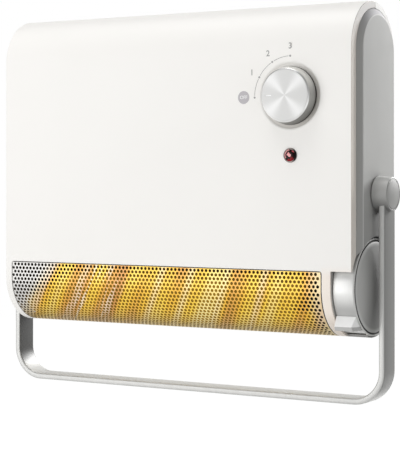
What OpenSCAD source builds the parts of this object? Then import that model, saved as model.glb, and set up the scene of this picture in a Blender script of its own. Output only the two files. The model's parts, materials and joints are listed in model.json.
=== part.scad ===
// Ceramic wall panel heater with a swing-up towel rail.
// Millimetres. X runs to the right seen from the front, Y towards the wall, Z up.
// The origin is the centre of the four wall screws, on the wall itself.

/* [Body] */
// Width of the shell over its two end rims
body_w = 454; // [430:1:480]
// Height of the shell
body_h = 360; // [345:1:385]
// Depth of the shell, which is also the diameter of its round top and bottom
body_d = 108; // [104:1:114]
// Wall of the front shell and the rear housing
wall_t = 2.6; // [2.2:0.1:3]
// Distance of the seam between the shells behind the middle of the depth
seam_back = 6; // [4:0.5:7]
// Width of the flat rim at the top and bottom of each open end
rim_w = 7.4; // [6.5:0.1:8.5]
// Distance that the rim's opening sits behind the middle of the depth
rim_back = 4.4; // [2:0.1:5]
// Thickness of that rim
rim_t = 3; // [2.4:0.1:3.6]
// Gap between the back of the shell and the wall
wall_gap = 2; // [1.8:0.1:3]

/* [End caps] */
// Width of the sloping border of an end cap
cap_slope_w = 7; // [6:0.5:9]
// Height of the cap's flat above the rim
cap_rise = 4.8; // [3.5:0.1:6]
// Wall of an end cap
cap_t = 3; // [2.4:0.1:3.4]

/* [Outlet] */
// Height of the outlet grille above the axis of the round bottom
grille_h = 18.3; // [14:0.1:22]
// White margin of the shell to the left of the grille
grille_margin = 8.7; // [7:0.1:12]
// White rib between the grille and the drum
rib_w = 10.2; // [8:0.1:13]
// Thickness of the perforated sheet
sheet_t = 1; // [0.8:0.1:1.4]
// Diameter of the grille's holes
hole_d = 7.5; // [6:0.1:8.5]
// Spacing of the grille's holes along a row
hole_pitch = 12.5; // [11.5:0.5:15]
// Plain border of the sheet before the first hole centre
hole_border = 8; // [6:0.5:10]
// Depth of the folded edge of the sheet
lip_h = 5; // [3:0.5:6]
// Corner radius of the grille's upper corners
grille_corner_r = 3; // [2:0.5:4]

/* [Airflow drum] */
// Width of the bay that the drum sits in
bay_w = 24.5; // [22:0.5:28]
// Distance that the shell's lip under the drum reaches in front of the axis
lip_reach = 12; // [10:0.5:13]
// Distance of the drum's surface below the shell's
drum_inset = 3.7; // [3.4:0.1:5]
// Distance of the end disc's edge below the shell's surface
disc_inset = 1.7; // [1.5:0.1:2.2]
// Height of the end disc's dome
disc_dome = 4; // [3:0.1:4.5]
// Wall of the drum
drum_t = 2.4; // [2:0.1:3]
// Distance that the finger tab stands out of the shell's surface
tab_proud = 7.3; // [5:0.1:9]
// Radius of the shaft that joins the drum to the vane
vane_shaft_r = 4; // [3.5:0.1:4.5]
// Thickness of the vane's blade
vane_t = 2; // [1.6:0.1:3]

/* [Towel rail] */
// Thickness of the flat bar
rail_t = 7; // [6:0.1:7.4]
// Width of the flat bar
rail_w = 28; // [26:0.5:30]
// Inner radius of the rail's two corners
rail_corner_r = 29.8; // [24:0.1:34]
// Gap between an end cap's flat and the rail's arm
rail_gap = 6.9; // [6.4:0.1:8]
// Gap between the bar and the top of the shell when the rail is swung right over
rail_clear = 11.8; // [10:0.1:25]
// Height of the rail's pivot above the axis of the round bottom
pivot_h = 99.5; // [92:0.1:115]
// Distance of the rail's pivot behind the middle of the depth
pivot_back = 1.5; // [0:0.1:2.4]
// Radius of the pivot bolts
pivot_r = 4; // [3.5:0.1:4.5]
// Radius of a hub at its base
hub_base_r = 19.6; // [19:0.1:22]
// Radius of a hub at its face
hub_face_r = 17.8; // [17:0.1:18.6]
// Distance of a hub's face outside the rail's arm
hub_cap = 4.2; // [4:0.1:5.5]

/* [Controls] */
// Distance of the knob's axis from the right end of the shell
knob_side = 71.7; // [68:0.1:80]
// Distance of the knob's axis below the top of the shell
knob_drop = 101.7; // [95:0.1:110]
// Diameter of the knob at its base
knob_base_d = 62.6; // [60:0.1:64]
// Diameter of the knob's face
knob_face_d = 57.6; // [54:0.1:59]
// Distance that the knob's face stands out of the shell
knob_proud = 13.1; // [11:0.1:16]
// Diameter of the dished recess round the knob
dish_d = 73; // [68:0.5:76]
// Depth of that recess
dish_depth = 1.2; // [0.8:0.1:1.5]
// Radius of the selector's shaft
selector_r = 3; // [2.5:0.1:3.2]
// Distance of the indicator below the knob's axis
lamp_drop = 63.5; // [58:0.1:66]
// Diameter of the indicator's bezel
bezel_d = 16; // [15.2:0.1:17]
// Diameter of the indicator's lens
lens_d = 12.8; // [12:0.1:13.2]
// Distance that the lens stands out of the shell
lens_proud = 1.9; // [1.6:0.1:2.1]

/* [Fan] */
// Radius of the crossflow wheel
fan_r = 28; // [26:0.5:29]
// Number of blades of the wheel
blade_count = 24; // [18:1:28]
// Radius of the fan's shaft
fan_shaft_r = 2.5; // [2:0.1:3]
// Gap between the wheel and the guide behind it
scroll_gap = 5; // [4:0.5:7]
// Thickness of the fan's steel sheets
guide_t = 1.2; // [1:0.1:1.5]

/* [Heater] */
// Length of the heating element
heater_l = 310; // [290:1:315]
// Height of the element along the airflow
heater_h = 26; // [22:0.5:28]
// Width of one row of fins
fin_w = 16.5; // [15:0.1:16.8]
// Spacing of the fins
fin_pitch = 10; // [8:0.5:12]
// Thickness of one fin
fin_t = 1; // [0.8:0.1:1.4]
// Thickness of a ceramic bar
ptc_t = 3; // [2.6:0.1:3.3]
// Thickness of the element's side rails
side_rail_t = 2.2; // [1.8:0.1:2.6]
// Wall of the outlet chamber that carries the element
chamber_t = 1.5; // [1.2:0.1:2]
// Height of the chamber's roof above the axis of the round bottom
chamber_h = 60; // [58:0.5:63]

/* [Wall mounting] */
// Distance of the wall screws' centre below the top of the shell
mount_drop = 116; // [110:1:125]
// Distance between the wall screws across
wall_screw_x = 180; // [160:1:200]
// Distance between the wall screws up and down
wall_screw_z = 30; // [26:1:36]
// Radius of the wall screws' holes
wall_screw_r = 2.6; // [2.2:0.1:3]
// Length of the wall bracket
bracket_l = 240; // [220:1:260]
// Height of the wall bracket
bracket_h = 60; // [50:1:70]
// Thickness of the wall bracket
bracket_t = 1.5; // [1.2:0.1:1.7]
// Distance of each hook from the middle
hook_x = 60; // [50:1:70]
// Width of a hook
hook_w = 24; // [20:1:30]
// Radius of the bore that the supply cable passes
cable_r = 3.6; // [3.2:0.1:4.2]

/* [Hidden] */
$fn = 64;

// Running clearance of a shaft in its bore, and the gap between seated pieces
run_gap = 0.05;
seat_gap = 0.3;

// The shell
half_w = body_w / 2;
body_r = body_d / 2;
inner_r = body_r - wall_t;
rim_r = body_r - rim_w;
top_z = body_h - body_d;
shell_top = top_z + body_r;
rim_x = half_w - rim_t;
mount_z = shell_top - mount_drop;

// The end caps: a flange behind the rim, a neck through it and a sloping face
cap_flange_t = 3;
cap_base_x = rim_x - cap_flange_t;
cap_x = half_w + cap_rise;
cap_neck_r = rim_r - seat_gap;
cap_flat_r = cap_neck_r - cap_slope_w;

// The outlet and the drum's bay
grille_x0 = -half_w + grille_margin;
bay_x = half_w - bay_w;
grille_x1 = bay_x - rib_w;
notch_h = grille_h + 0.2;
grille_out_r = body_r - 0.1;
row_pitch = hole_pitch * sin(60);
grille_run = grille_h - seat_gap + grille_out_r * PI / 2;

// The airflow drum
drum_r = body_r - drum_inset;
disc_r = body_r - disc_inset;
drum_gap = 1.2;
drum_x0 = bay_x + drum_gap;
drum_x1 = half_w + 0.2;
disc_gap = 0.4;
disc_x0 = drum_x1 + disc_gap;
disc_x1 = half_w + 2.1;
disc_space = 0.9;
disc_front_space = 2.2;
journal_l = 8;
tab_r = body_r + tab_proud;
tab_root_a = 33;
tab_tip_a = 39.8;
tab_edge_h = 4.7;
tab_slant = 3.4;
tab_tip = [-tab_r * cos(tab_tip_a), -tab_r * sin(tab_tip_a)];
tab_low_z = tab_tip[1] - tab_edge_h;
journal_r = vane_shaft_r + 4;
bay_plate_t = 2.6;

// The towel rail and its pivots
arm_x0 = cap_x + rail_gap;
arm_x1 = arm_x0 + rail_t;
hub_x1 = arm_x1 + hub_cap;
rail_reach = shell_top - pivot_h + rail_clear;
bar_top = pivot_h - rail_reach;
washer_t = 0.7;
cover_t = 1.2;
bolt_head_t = 2.4;
boss_r = 12;
nut_t = 6.5;

// The outlet chamber's ends, the depth it fills, and the air path above it
chamber_side_gap = 19;
chamber_bay_gap = 13.5;
path_back_gap = 14;
path_front_gap = 16.6;
chamber_x0 = -half_w + chamber_side_gap;
chamber_x1 = bay_x - chamber_bay_gap;
chamber_r = grille_out_r - lip_h - seat_gap;
path_back = body_r - path_back_gap;
path_front = -inner_r + path_front_gap;
roof_z = chamber_h + chamber_t;

// The fan, with its motor in the room to its left and the leads in the room to its right
motor_room = 64.2;
lead_room = 55;
fan_lift = 16.5;
fan_x0 = -half_w + motor_room;
fan_x1 = half_w - lead_room;
fan_y = path_back - guide_t - scroll_gap - fan_r;
fan_z = roof_z + heater_h + fan_lift + fan_r;
wheel_gap = 3;
guide_reach = 60;

// The heating element, across the chamber's roof
heater_x0 = (fan_x0 + fan_x1 - heater_l) / 2;
heater_x1 = heater_x0 + heater_l;
heater_half = 1.5 * fin_w + ptc_t;
insulator_l = 8;

// The chamber's curved floor: an arc that starts upright at the back wall
floor_drop = 90;
floor_back = path_back - 2;
floor_r = (floor_back * floor_back + floor_drop * floor_drop) / (2 * floor_back);
floor_z = 40;

// Controls
knob_x = half_w - knob_side;
knob_z = shell_top - knob_drop;
lamp_z = knob_z - lamp_drop;
plate_y = -inner_r + 7;
plate_t = 1.5;
plate_half_w = 33;
plate_half_h = 31;
switch_half = 17;
switch_l = 20;
blade_l = 7;
blade_x = 10;
blade_z = 9;
control_post_x = 28;
control_post_z = 26;
seal_r = selector_r + 1.9;
lamp_barrel_r = bezel_d / 2 - 2.1;
bezel_t = 2.2;
lens_seat = 0.5;
lens_edge = 1.1;

// Fixings
post_r = 5;
post_x = half_w - 13;
screw_r = 1.95;
head_r = 4;
head_depth = 6;
corner_posts = [for (side = [-1, 1], z = [body_r + 12, top_z + 10]) [side * post_x, z]];
middle_post_x = 80;
middle_post_z = mount_z + bracket_h / 2 + 18;
middle_posts = [for (side = [-1, 1]) [side * middle_post_x, middle_post_z]];
chamber_posts = [for (side = [-1, 1]) [side * 100, chamber_h - 10]];
control_posts = [
    for (i = [-1, 1], j = [-1, 1]) [knob_x + i * control_post_x, knob_z + j * control_post_z]
];
pad_r = 8;
pad_side = 37;
pad_low = 30;
pad_drop = 20;
pads = [for (i = [-1, 1], z = [pad_low, top_z - pad_drop]) [i * (half_w - pad_side), z]];
hook_z = mount_z + 8;
hook_y = -wall_gap - wall_t - 3;
gland_x = chamber_x0 + 24;
gland_y = 34;
gland_r = cable_r + 4.4;
gland_z0 = -body_r + 8;
gland_z1 = -22;
terminal_z = 12;
terminal_d = 10;
terminal_h = 14;
terminal_pitch = 11;

// Moves the body's own frame to the part's. In it, Y is 0 at the middle of the depth and
// Z is 0 at the axis of the round bottom.
module at_body() translate([0, -body_r - wall_gap, -mount_z]) children();

module at_pivot() translate([0, pivot_back, pivot_h]) children();

// Outline in Y and Z, pulled along X
module along_x(x0, x1) translate([x0, 0, 0]) rotate([90, 0, 90]) linear_extrude(x1 - x0) children();

// Outline in X and Z, pulled along Y
module along_y(y0, y1) translate([0, y1, 0]) rotate([90, 0, 0]) linear_extrude(y1 - y0) children();

module rod_x(x0, x1, r) translate([x0, 0, 0]) rotate([0, 90, 0]) cylinder(h = x1 - x0, r = r);
module cone_x(x0, x1, r0, r1)
    translate([x0, 0, 0]) rotate([0, 90, 0]) cylinder(h = x1 - x0, r1 = r0, r2 = r1);
module rod_y(y0, y1, r) translate([0, y0, 0]) rotate([-90, 0, 0]) cylinder(h = y1 - y0, r = r);
module cone_y(y0, y1, r0, r1)
    translate([0, y0, 0]) rotate([-90, 0, 0]) cylinder(h = y1 - y0, r1 = r0, r2 = r1);
module block(x0, x1, y0, y1, z0, z1) translate([x0, y0, z0]) cube([x1 - x0, y1 - y0, z1 - z0]);
module at_xz(p) translate([p[0], 0, p[1]]) children();
module both_sides() {
    children();
    mirror([1, 0, 0]) children();
}

// The body's side view: straight front and back, round top and bottom
module stadium(r) {
    circle(r);
    translate([0, top_z]) circle(r);
    translate([-r, 0]) square([2 * r, top_z]);
}

// The shell before it is cut at the seam, with a rim turned in at each end
module shell_tube() {
    difference() {
        along_x(-half_w, half_w) stadium(body_r);
        along_x(-rim_x, rim_x) stadium(inner_r);
        along_x(-half_w - 1, half_w + 1) translate([rim_back, 0]) stadium(rim_r);
    }
}

// Room for the end disc in the right end of a shell or cap
module disc_room(space) rod_x(cap_base_x - 1, cap_x + 1, disc_r + space);

// Outline of the grille seen from the front, reaching below the body
module grille_front(gap) {
    x0 = grille_x0 + gap;
    x1 = grille_x1 - gap;
    z1 = grille_h - gap;
    c = grille_corner_r;
    translate([x0, -body_r - 1]) square([x1 - x0, body_r + 1 + z1 - c]);
    translate([x0 + c, 0]) square([x1 - x0 - 2 * c, z1]);
    for (x = [x0 + c, x1 - c]) translate([x, z1 - c]) circle(c);
}

module front_shell() color("#f2f0ea") at_body() difference() {
    union() {
        intersection() {
            shell_tube();
            block(-half_w - 1, half_w + 1, -body_r - 1, seam_back, -body_r - 1, shell_top + 1);
        }
        for (p = concat(corner_posts, middle_posts))
            at_xz(p) rod_y(-inner_r - 0.6, seam_back, post_r);
        for (p = control_posts) at_xz(p) rod_y(-inner_r - 0.6, plate_y, 3.5);
        at_xz([knob_x, knob_z]) rod_y(-inner_r - 0.6, -inner_r + dish_depth, dish_d / 2 + 3);
    }
    along_y(-body_r - 1, 0) grille_front(0);
    block(bay_x, half_w + 1, -body_r - 1, -lip_reach, -body_r - 1, notch_h);
    disc_room(disc_space);
    intersection() {
        disc_room(disc_front_space);
        block(bay_x, cap_x + 2, -body_r - 1, seam_back + 1, 0, body_r + 5);
    }
    at_xz([knob_x, knob_z]) {
        cone_y(-body_r - 0.01, -body_r + dish_depth, dish_d / 2, dish_d / 2 - 1.5);
        rod_y(-body_r, 0, seal_r + seat_gap);
    }
    at_xz([knob_x, lamp_z]) rod_y(-body_r - 1, 0, lamp_barrel_r + seat_gap);
    for (p = concat(corner_posts, middle_posts))
        at_xz(p) rod_y(-20, seam_back + 1, screw_r + run_gap);
    for (p = control_posts) at_xz(p) rod_y(-inner_r + 0.5, plate_y + 1, 1.3);
}

// Slots for the fresh air across the round back of the top
module intake_slots() {
    slot_w = 4;
    slot_pitch = 9;
    n = floor((half_w - 45) / slot_pitch);
    for (i = [-n : n])
        translate([i * slot_pitch, 0, top_z]) rotate([-42, 0, 0])
            block(-slot_w / 2, slot_w / 2, -15, 15, inner_r - 5, body_r + 5);
}

module rear_housing() color("#e9e8e4") at_body() difference() {
    union() {
        intersection() {
            shell_tube();
            block(-half_w - 1, half_w + 1, seam_back, body_r + 1, -body_r - 1, shell_top + 1);
        }
        for (p = concat(corner_posts, middle_posts))
            at_xz(p) rod_y(seam_back, inner_r + 0.6, post_r);
        for (p = chamber_posts)
            at_xz(p) rod_y(body_r - head_depth - 2.5, inner_r + 0.6, post_r + 0.5);
        intersection() {
            translate([gland_x, gland_y, -body_r]) cylinder(h = body_r + gland_z1, r = gland_r + 1.8);
            along_x(-half_w, half_w) stadium(body_r);
        }
    }
    disc_room(disc_space);
    intake_slots();
    for (p = concat(corner_posts, middle_posts, chamber_posts)) at_xz(p) {
        rod_y(seam_back - 1, body_r + 1, screw_r + run_gap);
        rod_y(body_r - head_depth, body_r + 1, head_r + 0.4);
    }
    for (p = pads) at_xz(p) rod_y(body_r - 1, body_r + 1, pad_r + run_gap);
    both_sides()
        block(hook_x - hook_w / 2 - 0.5, hook_x + hook_w / 2 + 0.5, inner_r - 1, body_r + 1,
            hook_z - 12, hook_z + bracket_t + seat_gap);
    translate([gland_x, gland_y, -body_r - 1]) cylinder(h = body_r + 2, r = gland_r);
}

// Flat-faced stadium whose edge slopes, lying across X
module sloping_stadium(x0, x1, r0, r1) {
    side = [[0, x0], [r0, x0], [r1, x1], [0, x1]];
    rotate([0, 90, 0]) rotate([0, 0, -90]) rotate_extrude(angle = 180) polygon(side);
    translate([0, 0, top_z]) rotate([0, 90, 0]) rotate([0, 0, 90]) rotate_extrude(angle = 180)
        polygon(side);
    linear_extrude(top_z) polygon([[x0, -r0], [x0, r0], [x1, r1], [x1, -r1]]);
}

// The cap of the right end, whole. The left one is its mirror image.
module end_cap_body() difference() {
    union() {
        along_x(cap_base_x, rim_x) stadium(inner_r - seat_gap);
        along_x(rim_x, half_w) translate([rim_back, 0]) stadium(cap_neck_r);
        translate([0, rim_back, 0]) sloping_stadium(half_w, cap_x, cap_neck_r, cap_flat_r);
    }
    difference() {
        along_x(cap_base_x - 1, cap_x - cap_t) translate([rim_back, 0]) stadium(cap_flat_r - 1);
        at_pivot() rod_x(cap_base_x - 2, cap_x, boss_r);
    }
    at_pivot() rod_x(cap_base_x - 2, cap_x + 1, pivot_r + run_gap);
}

module end_cap_left() color("#b4b4b1") at_body() mirror([1, 0, 0]) end_cap_body();

module end_cap_right() color("#b4b4b1") at_body() difference() {
    end_cap_body();
    disc_room(disc_front_space);
}

// Turns what points to the front by the angle of a place along the sheet, counted from
// its upper edge down the flat and round the bottom
module on_sheet(s) {
    flat = grille_h - seat_gap;
    a = s < flat ? 0 : (s - flat) / grille_out_r * 180 / PI;
    z = s < flat ? flat - s : 0;
    translate([0, 0, z]) rotate([a, 0, 0]) children();
}

module outlet_grille() color("#c8c8c4") at_body() difference() {
    intersection() {
        union() {
            difference() {
                along_x(grille_x0, grille_x1) stadium(grille_out_r);
                along_x(grille_x0 - 1, grille_x1 + 1) stadium(grille_out_r - sheet_t);
            }
            for (x = [grille_x0 + seat_gap, grille_x1 - seat_gap - sheet_t])
                difference() {
                    along_x(x, x + sheet_t) stadium(grille_out_r);
                    along_x(x - 1, x + sheet_t + 1) stadium(grille_out_r - lip_h);
                }
            block(grille_x0 + grille_corner_r, grille_x1 - grille_corner_r, -grille_out_r + 0.2,
                -grille_out_r + lip_h, grille_h - seat_gap - sheet_t, grille_h - seat_gap);
        }
        along_y(-body_r - 1, -seat_gap) grille_front(seat_gap);
    }
    for (row = [0 : floor((grille_run - 2 * hole_border) / row_pitch)]) {
        first = grille_x0 + hole_border + (row % 2) * hole_pitch / 2;
        for (i = [0 : floor((grille_x1 - hole_border - first) / hole_pitch)])
            translate([first + i * hole_pitch, 0, 0]) on_sheet(hole_border + row * row_pitch)
                rod_y(-body_r - 1, -body_r + 3, hole_d / 2);
    }
}

// Side view of the outlet chamber: roof, front wall, back wall and curved floor
module chamber_side(inset) {
    intersection() {
        translate([-chamber_r + inset, -body_r])
            square([path_back + chamber_r - 2 * inset, body_r + roof_z - inset]);
        union() {
            translate([path_back - floor_r, floor_z]) circle(floor_r - inset);
            translate([-chamber_r, floor_z]) square([path_back + chamber_r - inset, roof_z - floor_z]);
        }
        stadium(chamber_r);
    }
}

module outlet_chamber() color("#8f9190") at_body() difference() {
    union() {
        difference() {
            along_x(chamber_x0, chamber_x1) chamber_side(0);
            along_x(chamber_x0 + chamber_t, chamber_x1 - chamber_t) chamber_side(chamber_t);
            // The open front, towards the grille
            block(chamber_x0 + chamber_t, chamber_x1 - chamber_t, -body_r, 2, -body_r, grille_h + 6);
        }
        for (p = chamber_posts)
            at_xz(p) rod_y(path_back - 1, body_r - head_depth - 2.5, post_r + 0.5);
    }
    // The element lies over this opening
    block(heater_x0 + 4, heater_x1 - 4, -heater_half + 1, heater_half - 1, chamber_h - 2, roof_z + 1);
    rod_x(chamber_x0 - 1, chamber_x0 + chamber_t + 1, vane_shaft_r + 3);
    rod_x(chamber_x1 - chamber_t - 1, chamber_x1 + 1, vane_shaft_r + 1);
    for (p = chamber_posts) at_xz(p) rod_y(path_back - 3, body_r, screw_r + run_gap);
}

// Thin sheet behind the wheel: up from the roof, then curling over the wheel
module rear_guide() color("#a9acad") at_body() along_x(fan_x0 + guide_t, fan_x1 - guide_t) {
    translate([path_back - guide_t, roof_z]) square([guide_t, fan_z - roof_z]);
    intersection() {
        difference() {
            translate([fan_y, fan_z]) circle(fan_r + scroll_gap + guide_t);
            translate([fan_y, fan_z]) circle(fan_r + scroll_gap);
        }
        translate([fan_y, fan_z]) polygon([
            [0, 0], [guide_reach, 0], [guide_reach, guide_reach], [guide_reach / 2, guide_reach]
        ]);
    }
}

module front_guide() color("#a9acad") at_body() along_x(fan_x0 + guide_t, fan_x1 - guide_t) {
    lip_z = fan_z - fan_r * 0.75;
    translate([path_front - guide_t, roof_z]) square([guide_t, lip_z - roof_z]);
    polygon([
        [path_front - guide_t, lip_z], [path_front, lip_z], [path_front + 4, lip_z + 6],
        [path_front + 4 - guide_t, lip_z + 7]
    ]);
}

// Side view of the plates that carry the fan, standing on the chamber's roof
module fan_plate_side() {
    translate([path_front - guide_t, roof_z])
        square([path_back - path_front + guide_t, fan_z - roof_z]);
    translate([fan_y, fan_z]) circle(fan_r + scroll_gap + guide_t);
}

module fan_frame_left() color("#a9acad") at_body() difference() {
    along_x(fan_x0, fan_x0 + guide_t) fan_plate_side();
    translate([0, fan_y, fan_z]) rod_x(fan_x0 - 1, fan_x0 + guide_t + 1, fan_shaft_r + 3);
}

module fan_frame_right() color("#a9acad") at_body() difference() {
    along_x(fan_x1 - guide_t, fan_x1) fan_plate_side();
    translate([0, fan_y, fan_z]) rod_x(fan_x1 - guide_t - 1, fan_x1 + 1, fan_shaft_r + 3);
    for (side = [-1, 1])
        translate([0, side * (fin_w + ptc_t) / 2, roof_z + heater_h / 2])
            block(fan_x1 - guide_t - 1, fan_x1 + 1, -2.5, 2.5, -5, 5);
}

// Crossflow wheel: slanted blades between rings, closed by a disc at each end
module fan_wheel() color("#3c3f42") at_body() translate([0, fan_y, fan_z]) {
    x0 = fan_x0 + guide_t + wheel_gap;
    x1 = fan_x1 - guide_t - wheel_gap;
    disc_t = 2;
    difference() {
        union() {
            for (x = [x0, x1 - disc_t]) rod_x(x, x + disc_t, fan_r);
            for (x = [x0, x1 - 10]) rod_x(x, x + 10, fan_shaft_r + 4);
            for (k = [1, 2]) rod_x(x0 + k * (x1 - x0) / 3, x0 + k * (x1 - x0) / 3 + disc_t, fan_r);
            along_x(x0 + 1, x1 - 1) for (i = [0 : blade_count - 1])
                rotate(i * 360 / blade_count) translate([fan_r - 4.6, 0]) rotate(32)
                    square([8, 1.1], center = true);
        }
        for (k = [1, 2])
            rod_x(x0 + k * (x1 - x0) / 3 - 1, x0 + k * (x1 - x0) / 3 + disc_t + 1, fan_r - 8.5);
        rod_x(x0 - 1, x1 + 1, fan_shaft_r + run_gap);
    }
}

// The motor stands outside the left plate, on the fan's axis
motor_x1 = fan_x0 - 2;
motor_half = 23;
window_x = 13;
window_half = 4;
core_h = 16;
coil_over = 6;
coil_half = 16.5;
bridge_off = 5;
bridge_half = 9;
spacer_r = 3;
stator_t = 20;
bracket_plate_t = 3;
stator_x1 = motor_x1 - bracket_plate_t - bridge_off;
stator_x0 = stator_x1 - stator_t;
core_half = window_x - window_half;
rotor_r = 13;

module fan_shaft() color("#b9bcc0") at_body() translate([0, fan_y, fan_z])
    rod_x(stator_x0 - 12, fan_x1 + 5, fan_shaft_r);

module motor_rotor() color("#8d9094") at_body() translate([0, fan_y, fan_z]) difference() {
    rod_x(stator_x0, stator_x1, rotor_r);
    rod_x(stator_x0 - 1, stator_x1 + 1, fan_shaft_r + run_gap);
}

module motor_laminations() color("#6d6f72") at_body() translate([0, fan_y, fan_z]) difference() {
    block(stator_x0, stator_x1, -motor_half, motor_half, -motor_half, motor_half + core_h);
    rod_x(stator_x0 - 1, stator_x1 + 1, rotor_r + 0.4);
    for (side = [-1, 1])
        block(stator_x0 - 1, stator_x1 + 1, side * window_x - window_half, side * window_x + window_half,
            rotor_r + 4, motor_half + core_h - 6);
}

module motor_coil() color("#b5652c") at_body() translate([0, fan_y, fan_z]) difference() {
    block(stator_x0 - coil_over, stator_x1 + coil_over, -coil_half, coil_half,
        rotor_r + 4.4, motor_half + core_h - 6.4);
    block(stator_x0 - seat_gap, stator_x1 + seat_gap, -core_half - seat_gap, core_half + seat_gap,
        rotor_r, motor_half + core_h);
}

// Two bearing bridges, screwed to the laminations, and the spacers to the plate
module motor_brackets() color("#c4c6c8") at_body() translate([0, fan_y, fan_z]) difference() {
    union() {
        for (x = [stator_x0 - bridge_off - bracket_plate_t, stator_x1 + bridge_off])
            block(x, x + bracket_plate_t, -motor_half, motor_half, -bridge_half, bridge_half);
        for (side = [-1, 1]) {
            translate([0, side * (motor_half - 4), 0])
                rod_x(stator_x1, fan_x0, spacer_r);
            translate([0, side * (motor_half - 4), 0])
                rod_x(stator_x0 - bridge_off - bracket_plate_t, stator_x0, spacer_r);
        }
        for (x = [stator_x0 - bridge_off - bracket_plate_t - 3, stator_x1 + bridge_off - 2])
            rod_x(x, x + bracket_plate_t + 4, fan_shaft_r + 4);
    }
    rod_x(stator_x0 - 12, fan_x0 + 1, fan_shaft_r + run_gap);
}

module fan_bearing() color("#a5762f") at_body() translate([0, fan_y, fan_z]) difference() {
    union() {
        rod_x(fan_x1, fan_x1 + 4, fan_shaft_r + 5.5);
        rod_x(fan_x1 - guide_t, fan_x1 + 1, fan_shaft_r + 3 - run_gap);
    }
    rod_x(fan_x1 - 2, fan_x1 + 5, fan_shaft_r + run_gap);
}

module heater_side_rails() color("#c9cccf") at_body() for (side = [-1, 1]) {
    y0 = side > 0 ? heater_half : -heater_half - side_rail_t;
    block(heater_x0, heater_x1, y0, y0 + side_rail_t, roof_z, roof_z + heater_h);
}

// Three rows of fins, each between two thin strips
module heater_fins() color("#d3d5d6") at_body() for (row = [-1 : 1]) {
    y0 = row * (fin_w + ptc_t) - fin_w / 2;
    x0 = heater_x0 + insulator_l;
    x1 = heater_x1 - insulator_l;
    for (y = [y0, y0 + fin_w - 0.8]) block(x0, x1, y, y + 0.8, roof_z + 1, roof_z + heater_h - 1);
    for (i = [0 : floor((x1 - x0 - 4) / fin_pitch)])
        block(x0 + 2 + i * fin_pitch, x0 + 2 + i * fin_pitch + fin_t, y0 + 0.4, y0 + fin_w - 0.4,
            roof_z + 1, roof_z + heater_h - 1);
}

module ceramic_bars() color("#e6dfcf") at_body() for (side = [-1, 1]) {
    y = side * (fin_w + ptc_t) / 2;
    block(heater_x0 + insulator_l, heater_x1 - insulator_l, y - ptc_t / 2, y + ptc_t / 2,
        roof_z + 2, roof_z + heater_h - 2);
}

module heater_insulators() color("#2f3032") at_body() difference() {
    for (x = [heater_x0, heater_x1 - insulator_l])
        block(x, x + insulator_l, -heater_half, heater_half, roof_z, roof_z + heater_h);
    for (side = [-1, 1])
        translate([0, side * (fin_w + ptc_t) / 2, roof_z + heater_h / 2])
            block(heater_x1 - insulator_l - 1, heater_x1 + 1, -0.5, 0.5, -3.3, 3.3);
}

module heater_terminals() color("#c9a24c") at_body() for (side = [-1, 1])
    translate([0, side * (fin_w + ptc_t) / 2, roof_z + heater_h / 2])
        block(heater_x1 - insulator_l, fan_x1 + 9, -0.4, 0.4, -3.2, 3.2);

// Snap disc thermostat on the right plate, level with the top of the element
module thermal_cutout() color("#3a3a3a") at_body() translate([0, -24, roof_z + heater_h / 2 + 2]) {
    rod_x(fan_x1, fan_x1 + 6, 8);
    rod_x(fan_x1 + 6, fan_x1 + 9, 6);
    for (z = [-4, 4]) block(fan_x1 + 9, fan_x1 + 16, -0.4, 0.4, z - 1.6, z + 1.6);
}

module thermal_fuse() color("#d9d6cc") at_body() translate([fan_x1 + 2.9, 24, roof_z + 4]) {
    cylinder(h = 20, r = 2.6);
    translate([0, 0, 20]) cylinder(h = 5, r = 0.6);
}

// The vane turns with the drum about the axis of the round bottom
vane_x0 = chamber_x0 + chamber_t + 2;
vane_x1 = chamber_x1 - chamber_t - 2;
vane_len = body_r - 12;
vane_angle = 40;

module air_vane() color("#d9d9d6") at_body() {
    rod_x(chamber_x0 - 4, drum_x0 + 4, vane_shaft_r);
    rotate([vane_angle, 0, 0]) {
        block(vane_x0, vane_x1, -vane_len, -vane_shaft_r + 1, -vane_t / 2, vane_t / 2);
        for (i = [0 : 4])
            translate([vane_x0 + 10 + i * (vane_x1 - vane_x0 - 22) / 4, 0, 0])
                along_x(0, 2) polygon([
                    [-vane_len + 8, 0], [-vane_shaft_r, vane_shaft_r + 3], [0, vane_shaft_r - 1],
                    [0, -vane_shaft_r + 1], [-vane_shaft_r, -vane_shaft_r - 3]
                ]);
    }
}

module vane_bush() color("#efeeea") at_body() difference() {
    union() {
        rod_x(chamber_x0 - 2, chamber_x0, vane_shaft_r + 5);
        rod_x(chamber_x0 - 1, chamber_x0 + chamber_t, vane_shaft_r + 3 - run_gap);
    }
    rod_x(chamber_x0 - 3, chamber_x0 + chamber_t + 1, vane_shaft_r + run_gap);
}

// Round wall between the drum's bay and the inside, which carries the drum's journal
module bay_plate() color("#e9e8e4") at_body() difference() {
    rod_x(bay_x - bay_plate_t, bay_x, inner_r - seat_gap);
    rod_x(bay_x - bay_plate_t - 1, bay_x + 1, journal_r + run_gap);
}

module drum_washer() color("#5a5a5a") at_body() difference() {
    rod_x(bay_x, drum_x0 - 0.2, journal_r + 8);
    rod_x(bay_x - 1, drum_x0, journal_r + seat_gap);
}

// Side view of the finger tab, from its root on the drum to the tip and back under it
module tab_side() {
    polygon([
        [-(drum_r - 1) * cos(tab_root_a), -(drum_r - 1) * sin(tab_root_a)],
        tab_tip,
        [tab_tip[0] + 1, tab_low_z],
        [-sqrt(drum_r * drum_r - tab_low_z * tab_low_z) + 1, tab_low_z],
        [-drum_r * 0.6, -drum_r * 0.6]
    ]);
}

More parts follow.
